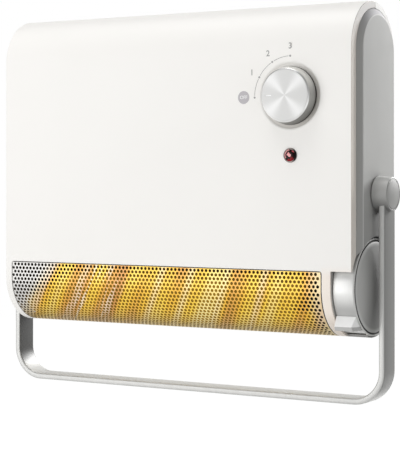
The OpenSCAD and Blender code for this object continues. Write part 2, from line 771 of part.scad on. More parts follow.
module airflow_drum() color("#e6e6e4") at_body() difference() {
    union() {
        rod_x(drum_x0, drum_x1, drum_r);
        rod_x(bay_x - bay_plate_t - 2, drum_x0 + 1, journal_r);
        difference() {
            along_x(drum_x0 + 0.2, drum_x1) tab_side();
            rod_x(drum_x0, drum_x1 + 1, drum_r - 1);
            // The tab's right end slants back to the drum
            linear_extrude(2 * tab_r, center = true) polygon([
                [drum_x1, -drum_r * cos(tab_root_a) + 1], [drum_x1 + 5, 0],
                [drum_x1 + 5, -tab_r - 5], [drum_x1 - tab_slant, -tab_r - 5],
                [drum_x1 - tab_slant, tab_tip[0]]
            ]);
        }
    }
    difference() {
        rod_x(drum_x0 + drum_t, drum_x1 + 1, drum_r - drum_t);
        rod_x(drum_x0, drum_x0 + journal_l, journal_r);
    }
    rod_x(bay_x - bay_plate_t - 3, drum_x0 + 5, vane_shaft_r + run_gap);
}

// Grey end disc: a spigot in the drum, a round edge and a flat dome
module drum_disc() color("#8c8c89") at_body() {
    edge_r = 1.4;
    dome_r = disc_r - edge_r;
    dome_steps = 10;
    spigot_r = drum_r - drum_t - run_gap;
    rotate([0, 90, 0]) rotate_extrude() {
        polygon([
            [0, disc_x0], [disc_r, disc_x0],
            for (a = [0 : 15 : 90]) [dome_r + edge_r * cos(a), disc_x1 - edge_r + edge_r * sin(a)],
            for (i = [dome_steps - 1 : -1 : 1])
                [dome_r * i / dome_steps, disc_x1 + disc_dome * (1 - pow(i / dome_steps, 2))],
            [0, disc_x1 + disc_dome * (1 - pow(1 / dome_steps, 2))]
        ]);
        translate([spigot_r - 2, disc_x0 - 4]) square([2, 4.5]);
    }
}

// Outline of the rail seen from the front: two arms and the bar under the body
module rail_front(x, z0, r) {
    translate([-x, z0 + r]) square([2 * x, pivot_h - z0 - r]);
    translate([-x + r, z0]) square([2 * (x - r), r + 1]);
    for (side = [-1, 1]) translate([side * (x - r), z0 + r]) circle(r);
}

module towel_rail() color("#bcbcba") at_body() difference() {
    union() {
        along_y(pivot_back - rail_w / 2, pivot_back + rail_w / 2) difference() {
            rail_front(arm_x1, bar_top - rail_t, rail_corner_r + rail_t);
            rail_front(arm_x0, bar_top, rail_corner_r);
        }
        both_sides() at_pivot() rod_x(arm_x0, arm_x1, rail_w / 2);
    }
    at_pivot() rod_x(-arm_x1 - 1, arm_x1 + 1, pivot_r + run_gap);
}

// The right hub. The arm lies in its slot, and a cover closes its face.
module hub() at_pivot() difference() {
    cone_x(cap_x + washer_t + 0.1, hub_x1, hub_base_r, hub_face_r);
    rod_x(arm_x0 - run_gap, arm_x1 + run_gap, rail_w / 2 + run_gap);
    block(arm_x0 - run_gap, arm_x1 + run_gap, -rail_w / 2 - run_gap, rail_w / 2 + run_gap,
        -hub_base_r - 1, 0);
    rod_x(cap_x, hub_x1 + 1, pivot_r + run_gap);
    rod_x(arm_x1, hub_x1 + 1, pivot_r + 3.4);
    rod_x(hub_x1 - cover_t, hub_x1 + 1, hub_face_r - 1.6 + run_gap);
}

module hub_left() color("#9b9b99") at_body() mirror([1, 0, 0]) hub();
module hub_right() color("#9b9b99") at_body() hub();

module hub_covers() color("#989896") at_body() both_sides() at_pivot()
    rod_x(hub_x1 - cover_t, hub_x1, hub_face_r - 1.6);

module pivot_bolts() color("#9a9da1") at_body() both_sides() at_pivot() {
    rod_x(cap_base_x - nut_t - 2, arm_x1 + 0.2, pivot_r);
    rod_x(arm_x1 + 0.1, arm_x1 + 0.1 + bolt_head_t, pivot_r + 2.8);
}

module pivot_washers() color("#4b4b4b") at_body() both_sides() at_pivot() difference() {
    rod_x(cap_x, cap_x + washer_t, hub_base_r - 4);
    rod_x(cap_x - 1, cap_x + washer_t + 1, pivot_r + seat_gap);
}

module pivot_nuts() color("#9a9da1") at_body() both_sides() at_pivot() difference() {
    translate([cap_base_x - nut_t, 0, 0]) rotate([0, 90, 0])
        cylinder(h = nut_t, r = pivot_r + 3.2, $fn = 6);
    rod_x(cap_base_x - nut_t - 1, cap_base_x + 1, pivot_r + run_gap);
}

// The selector knob, its bright face plate and its shaft
knob_y0 = -body_r + dish_depth - 0.6;
knob_y1 = -body_r - knob_proud;
plate_in = 0.8;

module at_knob() at_body() translate([knob_x, 0, knob_z]) children();

module selector_knob() color("#c4c4c0") at_knob() difference() {
    union() {
        difference() {
            cone_y(knob_y1, knob_y0, knob_face_d / 2, knob_base_d / 2);
            cone_y(knob_y1 + 2.5, knob_y0 + 1, knob_face_d / 2 - 2, knob_base_d / 2 - 2);
        }
        rod_y(knob_y1 + 1, knob_y0, selector_r + 3.5);
    }
    rod_y(knob_y1 - 1, knob_y1 + plate_in, knob_face_d / 2 - 1.2);
    rod_y(knob_y1 + plate_in + 1, knob_y0 + 1, selector_r + run_gap);
}

module knob_plate() color("#dcdcda") at_knob()
    rod_y(knob_y1 - 0.2, knob_y1 + plate_in, knob_face_d / 2 - 1.2 - run_gap);

module selector_shaft() color("#b9bcc0") at_knob() difference() {
    rod_y(knob_y1 + plate_in + 1.2, plate_y + plate_t + 2, selector_r);
    block(-selector_r, selector_r, knob_y1, knob_y0 + 2, selector_r - 0.9, selector_r + 1);
}

module shaft_seal() color("#2e2e2e") at_knob() difference() {
    rod_y(-body_r + dish_depth + 0.4, -inner_r + dish_depth + 0.6, seal_r);
    rod_y(-body_r, -inner_r + dish_depth + 1, selector_r + seat_gap);
}

module switch_nut() color("#9a9da1") at_knob() difference() {
    translate([0, plate_y - 2, 0]) rotate([-90, 0, 0]) cylinder(h = 2, r = selector_r + 4, $fn = 6);
    rod_y(plate_y - 3, plate_y + 1, selector_r + 2 + run_gap);
}

// Rotary switch behind the bracket, with a threaded neck and blade terminals
switch_y = plate_y + plate_t;
module selector_switch() color("#2b2c2e") at_knob() difference() {
    union() {
        block(-switch_half, switch_half, switch_y, switch_y + switch_l, -switch_half, switch_half);
        rod_y(plate_y - 2.6, switch_y + 1, selector_r + 2);
        for (i = [-1 : 1], j = [-1, 1]) at_xz([i * blade_x, j * blade_z])
            block(-3, 3, switch_y + switch_l - 1, switch_y + switch_l + blade_l, -0.4, 0.4);
    }
    rod_y(plate_y - 4, plate_y + plate_t + 3, selector_r + run_gap);
}

module control_bracket() color("#b7babd") at_knob() difference() {
    block(-plate_half_w, plate_half_w, plate_y, plate_y + plate_t, -plate_half_h, plate_half_h);
    rod_y(plate_y - 1, plate_y + plate_t + 1, selector_r + 2 + run_gap);
    for (i = [-1, 1], j = [-1, 1])
        at_xz([i * control_post_x, j * control_post_z]) rod_y(plate_y - 1, plate_y + plate_t + 1, 1.5);
}

module at_lamp() at_body() translate([knob_x, 0, lamp_z]) children();
lamp_y1 = -inner_r + 12;

module indicator_bezel() color("#d8d8d8") at_lamp() difference() {
    union() {
        cone_y(-body_r - bezel_t, -body_r, bezel_d / 2 - 0.8, bezel_d / 2);
        rod_y(-body_r - 0.4, lamp_y1, lamp_barrel_r);
    }
    rod_y(-body_r - bezel_t - 1, -body_r - lens_seat, lens_d / 2 + run_gap);
    rod_y(-body_r - bezel_t, lamp_y1 + 1, lamp_barrel_r - 1);
}

// Domed red lens, seated inside the bezel's ring
module indicator_lens() color("#a3121a") at_lamp() {
    r = lens_d / 2;
    h = lens_proud - lens_edge;
    big_r = (r * r + h * h) / (2 * h);
    rotate([90, 0, 0]) rotate_extrude() {
        translate([0, body_r + lens_seat]) square([r, lens_edge - lens_seat]);
        intersection() {
            translate([0, body_r + lens_proud - big_r]) circle(big_r, $fn = 180);
            translate([0, body_r + lens_edge - 0.1]) square([r, h + 0.1]);
        }
    }
}

module indicator_lamp() color("#e8e6df") at_lamp() {
    rod_y(-body_r + 1, lamp_y1 - 0.5, lamp_barrel_r - 1 - run_gap);
    rod_y(lamp_y1, lamp_y1 + 4, lamp_barrel_r);
    rod_y(lamp_y1 - 1, lamp_y1 + 1, lamp_barrel_r - 2);
    for (x = [-2.4, 2.4]) block(x - 0.4, x + 0.4, lamp_y1 + 4, lamp_y1 + 8, -1.4, 1.4);
}

module indicator_nut() color("#3a3a3a") at_lamp() difference() {
    rod_y(-inner_r, -inner_r + 3.5, lamp_barrel_r + 3);
    rod_y(-inner_r - 1, -inner_r + 4.5, lamp_barrel_r + run_gap);
}

// Three-way supply terminal on the back wall, above the cable's way in
module terminal_block() color("#efeeea") at_body() difference() {
    block(gland_x - 18, gland_x + 18, inner_r - terminal_d, inner_r, terminal_z, terminal_z + terminal_h);
    for (i = [-1 : 1]) translate([gland_x + i * terminal_pitch, 0, 0]) {
        translate([0, inner_r - terminal_d / 2, terminal_z - 1]) cylinder(h = terminal_h + 2, r = 2);
        translate([0, 0, terminal_z + terminal_h / 2])
            rod_y(inner_r - terminal_d - 1, inner_r - terminal_d / 2, 2.2);
    }
}

module cord_clamp() color("#efeeea") at_body() difference() {
    block(gland_x - 12, gland_x + 12, gland_y - 5.6, gland_y + 7, gland_z1, gland_z1 + 7);
    translate([gland_x, gland_y, gland_z1 - 1]) cylinder(h = 9, r = cable_r);
    for (side = [-1, 1])
        translate([gland_x + side * 8.5, gland_y, gland_z1 + 3]) cylinder(h = 5, r = 1.5);
}

// Rubber grommet for the supply cable, which leaves downwards behind the rail
module cable_grommet() color("#4a4a4a") at_body() translate([gland_x, gland_y, 0]) difference() {
    translate([0, 0, gland_z0]) cylinder(h = gland_z1 - gland_z0, r = gland_r - run_gap);
    translate([0, 0, -body_r]) cylinder(h = body_r, r = cable_r);
}

// Inner leads, each a short row of chosen points
lead_r = 1.3;
lead_top_z = middle_post_z + post_r + 6;
terminal_top = [gland_x, inner_r - terminal_d / 2, terminal_z + terminal_h + seat_gap];
switch_back = [knob_x, plate_y + plate_t + switch_l + blade_l + 0.9, knob_z];
cap_back = [fan_x1 + 9.4, 0, roof_z + heater_h / 2];
leads = [
    // Live lead from the terminal block to the switch, up the back and across the top
    [
        terminal_top - [terminal_pitch, 0, 0], terminal_top + [-terminal_pitch, 1, 30],
        [gland_x - terminal_pitch, 45, 120],
        [gland_x + 5, 44, mount_z + 40], [-middle_post_x, 38, lead_top_z], [0, 36, lead_top_z + 2],
        [middle_post_x, 32, lead_top_z], [knob_x - 24, 20, knob_z + 30],
        [knob_x - 12, 2, knob_z + 18],
        switch_back + [-blade_x, 6, blade_z], switch_back + [-blade_x, 0, blade_z]
    ],
    // Neutral lead from the terminal block to the motor's coil
    [
        terminal_top, terminal_top + [0, 1, 24], [gland_x, 45, 90],
        [stator_x0 + 10, fan_y + 34, fan_z + 6], [stator_x0 + 10, fan_y + 24, fan_z + 44],
        [stator_x0 + 10, fan_y + 6, fan_z + 50], [stator_x0 + 10, fan_y, fan_z + motor_half + core_h + 0.4]
    ],
    // Switched lead to the indicator
    [
        switch_back - [blade_x, 0, blade_z], switch_back + [-blade_x, 6, -blade_z],
        switch_back + [-8, 6, -26],
        [knob_x - 4, lamp_y1 + 16, lamp_z + 12], [knob_x - 2.4, lamp_y1 + 14, lamp_z],
        [knob_x - 2.4, lamp_y1 + 8.4, lamp_z]
    ],
    // Switched leads down to the two heater circuits
    for (side = [-1, 1]) [
        switch_back + [blade_x, 0, side * blade_z], switch_back + [blade_x, 7, side * blade_z],
        [fan_x1 + 16, side * 10, knob_z - 30], [fan_x1 + 22, side * 10, fan_z - 10],
        cap_back + [9, side * (fin_w + ptc_t) / 2, 4], cap_back + [6, side * (fin_w + ptc_t) / 2, 0],
        cap_back + [0, side * (fin_w + ptc_t) / 2, 0]
    ]
];

// Smooth curve through a lead's points
function lead_point(p, i, t) =
    let (
        n = len(p) - 1,
        a = p[max(i - 1, 0)],
        b = p[i],
        c = p[min(i + 1, n)],
        d = p[min(i + 2, n)]
    )
    b + 0.5 * t * ((c - a) + t * ((2 * a - 5 * b + 4 * c - d) + t * (3 * (b - c) + d - a)));
function lead_path(p, steps) = [
    for (i = [0 : len(p) - 2], k = [0 : steps - 1]) lead_point(p, i, k / steps),
    p[len(p) - 1]
];
function unit(v) = v / norm(v);
function lead_ring(path, i, sides) =
    let (
        n = len(path) - 1,
        along = unit(path[min(i + 1, n)] - path[max(i - 1, 0)]),
        u = unit(cross(along, abs(along[0]) > 0.9 ? [0, 1, 0] : [1, 0, 0])),
        v = cross(along, u)
    )
    [for (k = [0 : sides - 1]) path[i] + lead_r * (u * cos(k * 360 / sides) + v * sin(k * 360 / sides))];

module lead(points) {
    sides = 6;
    path = lead_path(points, 3);
    rings = len(path);
    polyhedron(
        points = [for (i = [0 : rings - 1]) each lead_ring(path, i, sides)],
        faces = [
            [for (k = [0 : sides - 1]) k],
            [for (k = [sides - 1 : -1 : 0]) (rings - 1) * sides + k],
            for (i = [0 : rings - 2], k = [0 : sides - 1]) each [
                [i * sides + k, (i + 1) * sides + k, (i + 1) * sides + (k + 1) % sides],
                [i * sides + k, (i + 1) * sides + (k + 1) % sides, i * sides + (k + 1) % sides]
            ]
        ]
    );
}

module wiring() color("#8a3b2a") at_body() for (p = leads) lead(p);

// Wall plate with four screw holes and two hooks that the rear housing hangs on
module wall_bracket() color("#c2c5c7") at_body() translate([0, body_r + wall_gap, mount_z]) difference() {
    union() {
        block(-bracket_l / 2, bracket_l / 2, -bracket_t, 0, -bracket_h / 2, bracket_h / 2);
        both_sides() translate([hook_x, 0, hook_z - mount_z]) {
            block(-hook_w / 2, hook_w / 2, hook_y, -bracket_t / 2, 0, bracket_t);
            block(-hook_w / 2, hook_w / 2, hook_y, hook_y + bracket_t, 0, 12);
        }
    }
    for (i = [-1, 1], j = [-1, 1])
        translate([i * wall_screw_x / 2, 0, j * wall_screw_z / 2]) rod_y(-bracket_t - 1, 1, wall_screw_r);
}

module wall_pads() color("#55565a") at_body() for (p = pads)
    at_xz(p) rod_y(body_r - 1, body_r + wall_gap, pad_r);

// Screws that close the housing, and two that hold the outlet chamber
module housing_screws() color("#9a9da1") at_body() {
    for (p = concat(corner_posts, middle_posts)) at_xz(p) screw(seam_back - 16);
    for (p = chamber_posts) at_xz(p) screw(path_back - 2);
}

module screw(tip_y) {
    rod_y(tip_y, body_r - head_depth, screw_r);
    difference() {
        rod_y(body_r - head_depth, body_r - head_depth + 3, head_r);
        for (a = [0, 90])
            rotate([0, a, 0]) block(-2.4, 2.4, body_r - head_depth + 1.6, body_r, -0.5, 0.5);
    }
}

front_shell();
rear_housing();
end_cap_left();
end_cap_right();
outlet_grille();
outlet_chamber();
rear_guide();
front_guide();
fan_frame_left();
fan_frame_right();
fan_wheel();
fan_shaft();
fan_bearing();
motor_laminations();
motor_coil();
motor_rotor();
motor_brackets();
heater_side_rails();
heater_fins();
ceramic_bars();
heater_insulators();
heater_terminals();
thermal_cutout();
thermal_fuse();
air_vane();
vane_bush();
bay_plate();
drum_washer();
airflow_drum();
drum_disc();
towel_rail();
hub_left();
hub_right();
hub_covers();
pivot_bolts();
pivot_washers();
pivot_nuts();
selector_knob();
knob_plate();
selector_shaft();
selector_switch();
switch_nut();
control_bracket();
shaft_seal();
indicator_bezel();
indicator_lens();
indicator_lamp();
indicator_nut();
terminal_block();
cord_clamp();
cable_grommet();
wiring();
wall_bracket();
wall_pads();
housing_screws();
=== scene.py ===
"""A slim wall heater with a swing-up towel rail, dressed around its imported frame."""

import json
import math

import bmesh
import bpy
from mathutils import Matrix, Vector, geometry


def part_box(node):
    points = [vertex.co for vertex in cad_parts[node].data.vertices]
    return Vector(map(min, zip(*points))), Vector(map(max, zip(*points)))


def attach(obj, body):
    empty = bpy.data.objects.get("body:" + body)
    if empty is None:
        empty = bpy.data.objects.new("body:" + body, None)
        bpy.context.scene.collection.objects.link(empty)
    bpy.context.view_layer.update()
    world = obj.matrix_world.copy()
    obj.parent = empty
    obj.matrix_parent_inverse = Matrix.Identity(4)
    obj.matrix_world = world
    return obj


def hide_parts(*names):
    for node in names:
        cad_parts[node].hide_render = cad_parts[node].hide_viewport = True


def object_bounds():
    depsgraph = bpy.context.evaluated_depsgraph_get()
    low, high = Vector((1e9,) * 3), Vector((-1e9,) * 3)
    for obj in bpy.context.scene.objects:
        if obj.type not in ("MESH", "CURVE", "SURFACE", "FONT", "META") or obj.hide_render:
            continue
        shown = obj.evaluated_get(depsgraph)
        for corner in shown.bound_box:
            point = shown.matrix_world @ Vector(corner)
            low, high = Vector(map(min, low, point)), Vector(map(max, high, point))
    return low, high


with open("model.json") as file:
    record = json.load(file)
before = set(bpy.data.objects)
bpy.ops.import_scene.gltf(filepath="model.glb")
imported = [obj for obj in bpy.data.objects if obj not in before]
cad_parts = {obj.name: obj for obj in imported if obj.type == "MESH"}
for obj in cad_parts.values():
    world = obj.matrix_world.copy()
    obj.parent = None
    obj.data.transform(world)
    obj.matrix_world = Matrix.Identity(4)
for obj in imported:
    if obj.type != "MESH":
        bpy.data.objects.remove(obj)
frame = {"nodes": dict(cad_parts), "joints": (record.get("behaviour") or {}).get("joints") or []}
cad_box = [list(corner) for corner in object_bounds()]

MM = 0.001
TAU = 2 * math.pi
SCENE = bpy.context.scene
JOINTS = {j["name"]: j for j in frame["joints"]}

# Pieces of the body are drawn about the axis of its round bottom: X to the right, Y back, Z up.
ORIGIN = Vector((0, *JOINTS["airflow_turn"]["pos_m"][1:]))


def local_box(node):
    """Lowest and highest corner of a CAD node, about the body's own origin."""
    lo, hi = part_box(node)
    return lo - ORIGIN, hi - ORIGIN


# The shell
shell_lo, shell_hi = local_box("front_shell")
HALF_W = shell_hi.x
BODY_R = -shell_lo.y
TOP = shell_hi.z - BODY_R
SEAM = shell_hi.y
WALL = 2.6 * MM
WELD = 1e-7
RIM_T = 3 * MM
RIM_R = BODY_R - 7.4 * MM
RIM_BACK = 4.4 * MM
CAP_SLOPE = 7 * MM
LIP_REACH = 12 * MM

# The outlet and the drum's bay
grille_lo, grille_hi = local_box("outlet_grille")
GRILLE_GAP = 0.3 * MM
GRILLE_X0 = grille_lo.x - GRILLE_GAP
GRILLE_X1 = grille_hi.x + GRILLE_GAP
GRILLE_TOP = grille_hi.z + GRILLE_GAP
GRILLE_R = -grille_lo.y
drum_hi = local_box("airflow_drum")[1]
disc_lo, disc_hi = local_box("drum_disc")
BAY_X = HALF_W - 24.5 * MM
NOTCH_TOP = GRILLE_TOP + 0.2 * MM
DRUM_X0 = drum_hi.x - 23.5 * MM
DRUM_X1 = drum_hi.x
DRUM_R = drum_hi.y
DISC_R = disc_hi.y
DISC_ROOM_R = DISC_R + 2.2 * MM
TAB_R = BODY_R + 7.3 * MM
TAB_TURN = math.radians(39.8)
TAB_LOW = -TAB_R * math.sin(TAB_TURN) - 4.7 * MM

# The controls
knob_lo, knob_hi = local_box("selector_knob")
KNOB = (knob_lo + knob_hi) / 2
KNOB_R = (knob_hi.x - knob_lo.x) / 2
plate_lo, plate_hi = local_box("knob_plate")
KNOB_FACE_Y = plate_lo.y
PLATE_R = (plate_hi.x - plate_lo.x) / 2
KNOB_FACE_R = PLATE_R + 1.25 * MM
lens_lo, lens_hi = local_box("indicator_lens")
LAMP = (lens_lo + lens_hi) / 2
LENS_R = 6.35 * MM
bezel_lo, bezel_hi = local_box("indicator_bezel")
BEZEL_R = (bezel_hi.x - bezel_lo.x) / 2
BEZEL_T = 2.2 * MM
DISH_R = 36.5 * MM

# The rail and its hubs
rail_lo, rail_hi = local_box("towel_rail")
hub_lo, hub_hi = local_box("hub_right")
PIVOT = Vector((0, *JOINTS["rail_swing"]["pos_m"][1:])) - ORIGIN
PIVOT.x = 0
RAIL_T = 7 * MM
RAIL_HALF = rail_hi.y - PIVOT.y
CAP_X = local_box("end_cap_right")[1].x


# ---- camera ----
CAMERA_PLACE = (0.9223, -1.5622, -0.0748)
CAMERA_TURN = math.radians(31.19)
CAMERA_LENS = 117.6
CAMERA_SHIFT = -0.120


def make_camera():
    data = bpy.data.cameras.new("view")
    cam = bpy.data.objects.new("view", data)
    SCENE.collection.objects.link(cam)
    cam.location = CAMERA_PLACE
    cam.rotation_euler = (math.radians(90), 0, CAMERA_TURN)
    data.sensor_width = 36
    data.lens = CAMERA_LENS
    data.shift_y = CAMERA_SHIFT
    data.clip_start, data.clip_end = 0.05, 50
    SCENE.camera = cam


make_camera()


# ---- mesh tools ----
def loft(rings, wrap=False, caps=False):
    """A mesh that skins closed rings of points in order."""
    bm = bmesh.new()
    made = [[bm.verts.new(p) for p in ring] for ring in rings]
    for a, b in zip(made, made[1:] + (made[:1] if wrap else [])):
        for i in range(len(a)):
            j = (i + 1) % len(a)
            bm.faces.new((a[i], a[j], b[j], b[i]))
    if caps:
        bm.faces.new(made[0][::-1])
        bm.faces.new(made[-1])
    bmesh.ops.remove_doubles(bm, verts=bm.verts, dist=WELD)
    bmesh.ops.recalc_face_normals(bm, faces=bm.faces)
    return bm


def lathe(profile, axis, centre=(0, 0, 0), steps=128, wrap=False):
    """A mesh turned from (radius, place along the axis) points about X or Y through centre."""
    rings = []
    for r, h in profile:
        ring = []
        for i in range(steps):
            c, s = r * math.cos(TAU * i / steps), r * math.sin(TAU * i / steps)
            ring.append(Vector(centre) + (Vector((h, c, s)) if axis == "X" else Vector((c, h, s))))
        rings.append(ring)
    return loft(rings, wrap=wrap)


def prism(outline, axis, lo, hi):
    """A mesh pulled from a closed outline along X (outline in Y, Z) or Y (outline in X, Z)."""
    rings = [
        [Vector((h, a, b)) if axis == "X" else Vector((a, h, b)) for a, b in outline]
        for h in (lo, hi)
    ]
    return loft(rings, caps=True)


def arc(cx, cy, r, a0, a1, steps):
    """Points along a circular arc, angles in degrees."""
    turn = [math.radians(a0 + (a1 - a0) * i / steps) for i in range(steps + 1)]
    return [(cx + r * math.cos(a), cy + r * math.sin(a)) for a in turn]


def temporary(bm, name):
    """An object of the mesh, for as long as another step needs it."""
    mesh = bpy.data.meshes.new(name)
    bm.to_mesh(mesh)
    obj = bpy.data.objects.new(name, mesh)
    SCENE.collection.objects.link(obj)
    return obj


def carve(bm, *cutters):
    """The mesh with the cutters' volumes taken out."""
    base = temporary(bm, "carve_base")
    tools = [temporary(c, "carve_tool") for c in cutters]
    for tool in tools:
        step = base.modifiers.new("carve", "BOOLEAN")
        step.operation, step.solver, step.object = "DIFFERENCE", "EXACT", tool
    bpy.context.view_layer.update()
    done = base.evaluated_get(bpy.context.evaluated_depsgraph_get())
    result = bmesh.new()
    result.from_mesh(done.to_mesh())
    for obj in [base, *tools]:
        mesh = obj.data
        bpy.data.objects.remove(obj)
        bpy.data.meshes.remove(mesh)
    return result


def mirrored(bm):
    """The mesh mirrored across the middle of the heater's width."""
    bmesh.ops.transform(bm, matrix=Matrix.Diagonal((-1, 1, 1, 1)), verts=bm.verts)
    bmesh.ops.reverse_faces(bm, faces=bm.faces)
    return bm


def merged(*meshes):
    """Several meshes as one."""
    whole = bmesh.new()
    for bm in meshes:
        part = bpy.data.meshes.new("part")
        bm.to_mesh(part)
        whole.from_mesh(part)
        bpy.data.meshes.remove(part)
    return whole


def piece(name, bm, material, body, replaces=(), bevel=0, smooth=32):
    """Turns a mesh into a piece of the object that rides on a body."""
    mesh = bpy.data.meshes.new(name)
    bm.to_mesh(mesh)
    bm.free()
    mesh.materials.append(material)
    mesh.shade_smooth()
    mesh.set_sharp_from_angle(angle=math.radians(smooth))
    obj = bpy.data.objects.new(name, mesh)
    SCENE.collection.objects.link(obj)
    obj.location = ORIGIN
    if bevel:
        edge = obj.modifiers.new("edge", "BEVEL")
        edge.width, edge.segments = bevel, 3
        edge.limit_method, edge.angle_limit = "ANGLE", math.radians(smooth)
        edge.use_clamp_overlap = False
        edge.harden_normals = True
    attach(obj, body)
    if replaces:
        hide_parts(*replaces)
    return obj


# ---- materials ----
class Paint:
    """A node material with short ways to add and join nodes."""

    def __init__(self, name):
        self.material = bpy.data.materials.new(name)
        self.material.use_nodes = True
        self.tree = self.material.node_tree
        self.shader = self.tree.nodes["Principled BSDF"]
        place = self.add("ShaderNodeTexCoord")
        self.place = place.outputs["Object"]

    def add(self, kind, **settings):
        node = self.tree.nodes.new(kind)
        for key, value in settings.items():
            setattr(node, key, value)
        return node

    def join(self, source, target):
        self.tree.links.new(source, target)

    def set(self, **values):
        for key, value in values.items():
            self.shader.inputs[key.replace("_", " ")].default_value = value

    def math(self, operation, a, b=0.0, c=0.0):
        node = self.add("ShaderNodeMath", operation=operation)
        for socket, value in zip(node.inputs, (a, b, c)):
            if isinstance(value, (int, float)):
                socket.default_value = value
            else:
                self.join(value, socket)
        return node.outputs[0]

    def split(self, vector):
        node = self.add("ShaderNodeSeparateXYZ")
        self.join(vector, node.inputs[0])
        return node.outputs

    def axes(self):
        """X, Y and Z of a place on the piece."""
        return self.split(self.place)

    def facing(self):
        """X, Y and Z of the direction that the surface faces."""
        return self.split(self.add("ShaderNodeTexCoord").outputs["Normal"])

    def across(self, a, b):
        """Length of a line with sides a and b."""
        squares = [self.math("MULTIPLY", side, side) for side in (a, b)]
        return self.math("SQRT", self.math("ADD", *squares))

    def shifted(self, by):
        """The place on the piece, measured from a point."""
        node = self.add("ShaderNodeVectorMath", operation="SUBTRACT")
        self.join(self.place, node.inputs[0])
        node.inputs[1].default_value = by
        return node.outputs[0]

    def tinted(self, base, tint):
        """Joins a colour times a tint to the shader."""
        node = self.add("ShaderNodeMix", data_type="RGBA", blend_type="MULTIPLY")
        node.inputs[0].default_value = 1
        self.join(base, node.inputs[6])
        self.join(tint, node.inputs[7])
        self.colour(node.outputs[2])

    def colour(self, source):
        self.join(source, self.shader.inputs["Base Color"])

    def gloss(self, source, low, high, *span):
        """Uneven roughness between low and high."""
        self.join(self.spread(source, low, high, *span), self.shader.inputs["Roughness"])

    def turned(self, axis):
        """Lets reflections follow turned lines about an axis."""
        node = self.add("ShaderNodeTangent", direction_type="RADIAL", axis=axis)
        self.join(node.outputs[0], self.shader.inputs["Tangent"])

    def noise(self, scale, detail=2.0, stretch=None, rough=0.5, vector=None):
        node = self.add("ShaderNodeTexNoise")
        node.inputs["Scale"].default_value = scale
        node.inputs["Detail"].default_value = detail
        node.inputs["Roughness"].default_value = rough
        source = vector or self.place
        if stretch:
            mapping = self.add("ShaderNodeMapping")
            mapping.inputs["Scale"].default_value = stretch
            self.join(source, mapping.inputs["Vector"])
            source = mapping.outputs[0]
        self.join(source, node.inputs["Vector"])
        return node.outputs[0]

    def spread(self, value, low, high, from_low=0.3, from_high=0.7, smooth=False):
        """A value between two ends, spread from low to high and held there beyond them."""
        node = self.add("ShaderNodeMapRange", clamp=True)
        if smooth:
            node.interpolation_type = "SMOOTHSTEP"
        self.join(value, node.inputs["Value"])
        ends = {"From Min": from_low, "From Max": from_high, "To Min": low, "To Max": high}
        for key, end in ends.items():
            node.inputs[key].default_value = end
        return node.outputs[0]

    def ramp(self, value, stops):
        node = self.add("ShaderNodeValToRGB")
        band = node.color_ramp
        while len(band.elements) < len(stops):
            band.elements.new(0.5)
        for element, (place, colour) in zip(band.elements, stops):
            element.position, element.color = place, (*colour, 1)
        self.join(value, node.inputs[0])
        return node.outputs[0]

    def mix(self, share, a, b):
        node = self.add("ShaderNodeMix", data_type="RGBA")
        for socket, value in ((node.inputs[0], share), (node.inputs[6], a), (node.inputs[7], b)):
            if isinstance(value, tuple):
                socket.default_value = (*value, 1)
            elif isinstance(value, (int, float)):
                socket.default_value = value
            else:
                self.join(value, socket)
        return node.outputs[2]

    def bump(self, height, strength, distance):
        node = self.add("ShaderNodeBump")
        node.inputs["Strength"].default_value = strength
        node.inputs["Distance"].default_value = distance
        self.join(height, node.inputs["Height"])
        self.join(node.outputs[0], self.shader.inputs["Normal"])


def shade(colour, factor):
    """A colour made darker or lighter."""
    return tuple(min(1.0, c * factor) for c in colour)


def plastic(name, colour, rough=0.4, tone=0.015, grain=2600, texture=0.08, **values):
    """Moulded plastic: a faint drift of tone, a fine sparkle in the skin and uneven gloss."""
    p = Paint(name)
    drift = p.spread(p.noise(9, 3), 0, 1)
    p.colour(p.mix(drift, shade(colour, 1 - tone), shade(colour, 1 + tone)))
    p.gloss(p.noise(60, 3), rough - 0.04, rough + 0.04)
    p.bump(p.noise(grain, 2), texture, 0.00008)
    p.set(**values)
    return p.material


def cap_plastic():
    """Grey moulded plastic, with painted light: the flat is painted darker low down, under the hub
    and the rail's arm, and a little at its top, the sloping border is painted darker at its front,
    and a painted highlight line runs round the flat's edge.
    """
    p = Paint("cap_grey")
    # colour of the painted shade on the sloping border's front
    dark = (0.375, 0.375, 0.365)
    x, y, z = p.axes()
    # painted shade on the flat by height: darkest low down, where the hub and the rail's arm shade
    # it
    light = p.ramp(
        p.spread(z, 0, 1, 0, 0.25),
        [
            (0.0, (0.29, 0.29, 0.282)),
            (0.24, (0.33, 0.33, 0.322)),
            (0.5, (0.44, 0.44, 0.43)),
            (0.7, (0.45, 0.45, 0.44)),
            (1.0, (0.425, 0.425, 0.415)),
        ],
    )
    x = p.math("ABSOLUTE", x)
    # the sloping border, painted darker at its front as shade
    slope = p.spread(x, 1, 0, CAP_X - 0.9 * MM, CAP_X - 0.15 * MM, smooth=True)
    front = p.spread(y, 1, 0, -40 * MM, -12 * MM, smooth=True)
    # a painted highlight line along the flat's rounded edge
    edge = p.spread(x, 0, 1, CAP_X - 0.5 * MM, CAP_X - 0.25 * MM)
    line = p.math("MULTIPLY", edge, p.spread(x, 1, 0, CAP_X - 0.06 * MM, CAP_X - 0.02 * MM))
    base = p.mix(slope, light, p.mix(front, (0.44, 0.435, 0.445), dark))
    p.colour(p.mix(line, base, (0.56, 0.56, 0.55)))
    p.gloss(p.noise(60, 3), 0.6, 0.66)
    p.bump(p.noise(2600, 2), 0.12, 0.00008)
    p.set(Specular_IOR_Level=0.12)
    return p.material


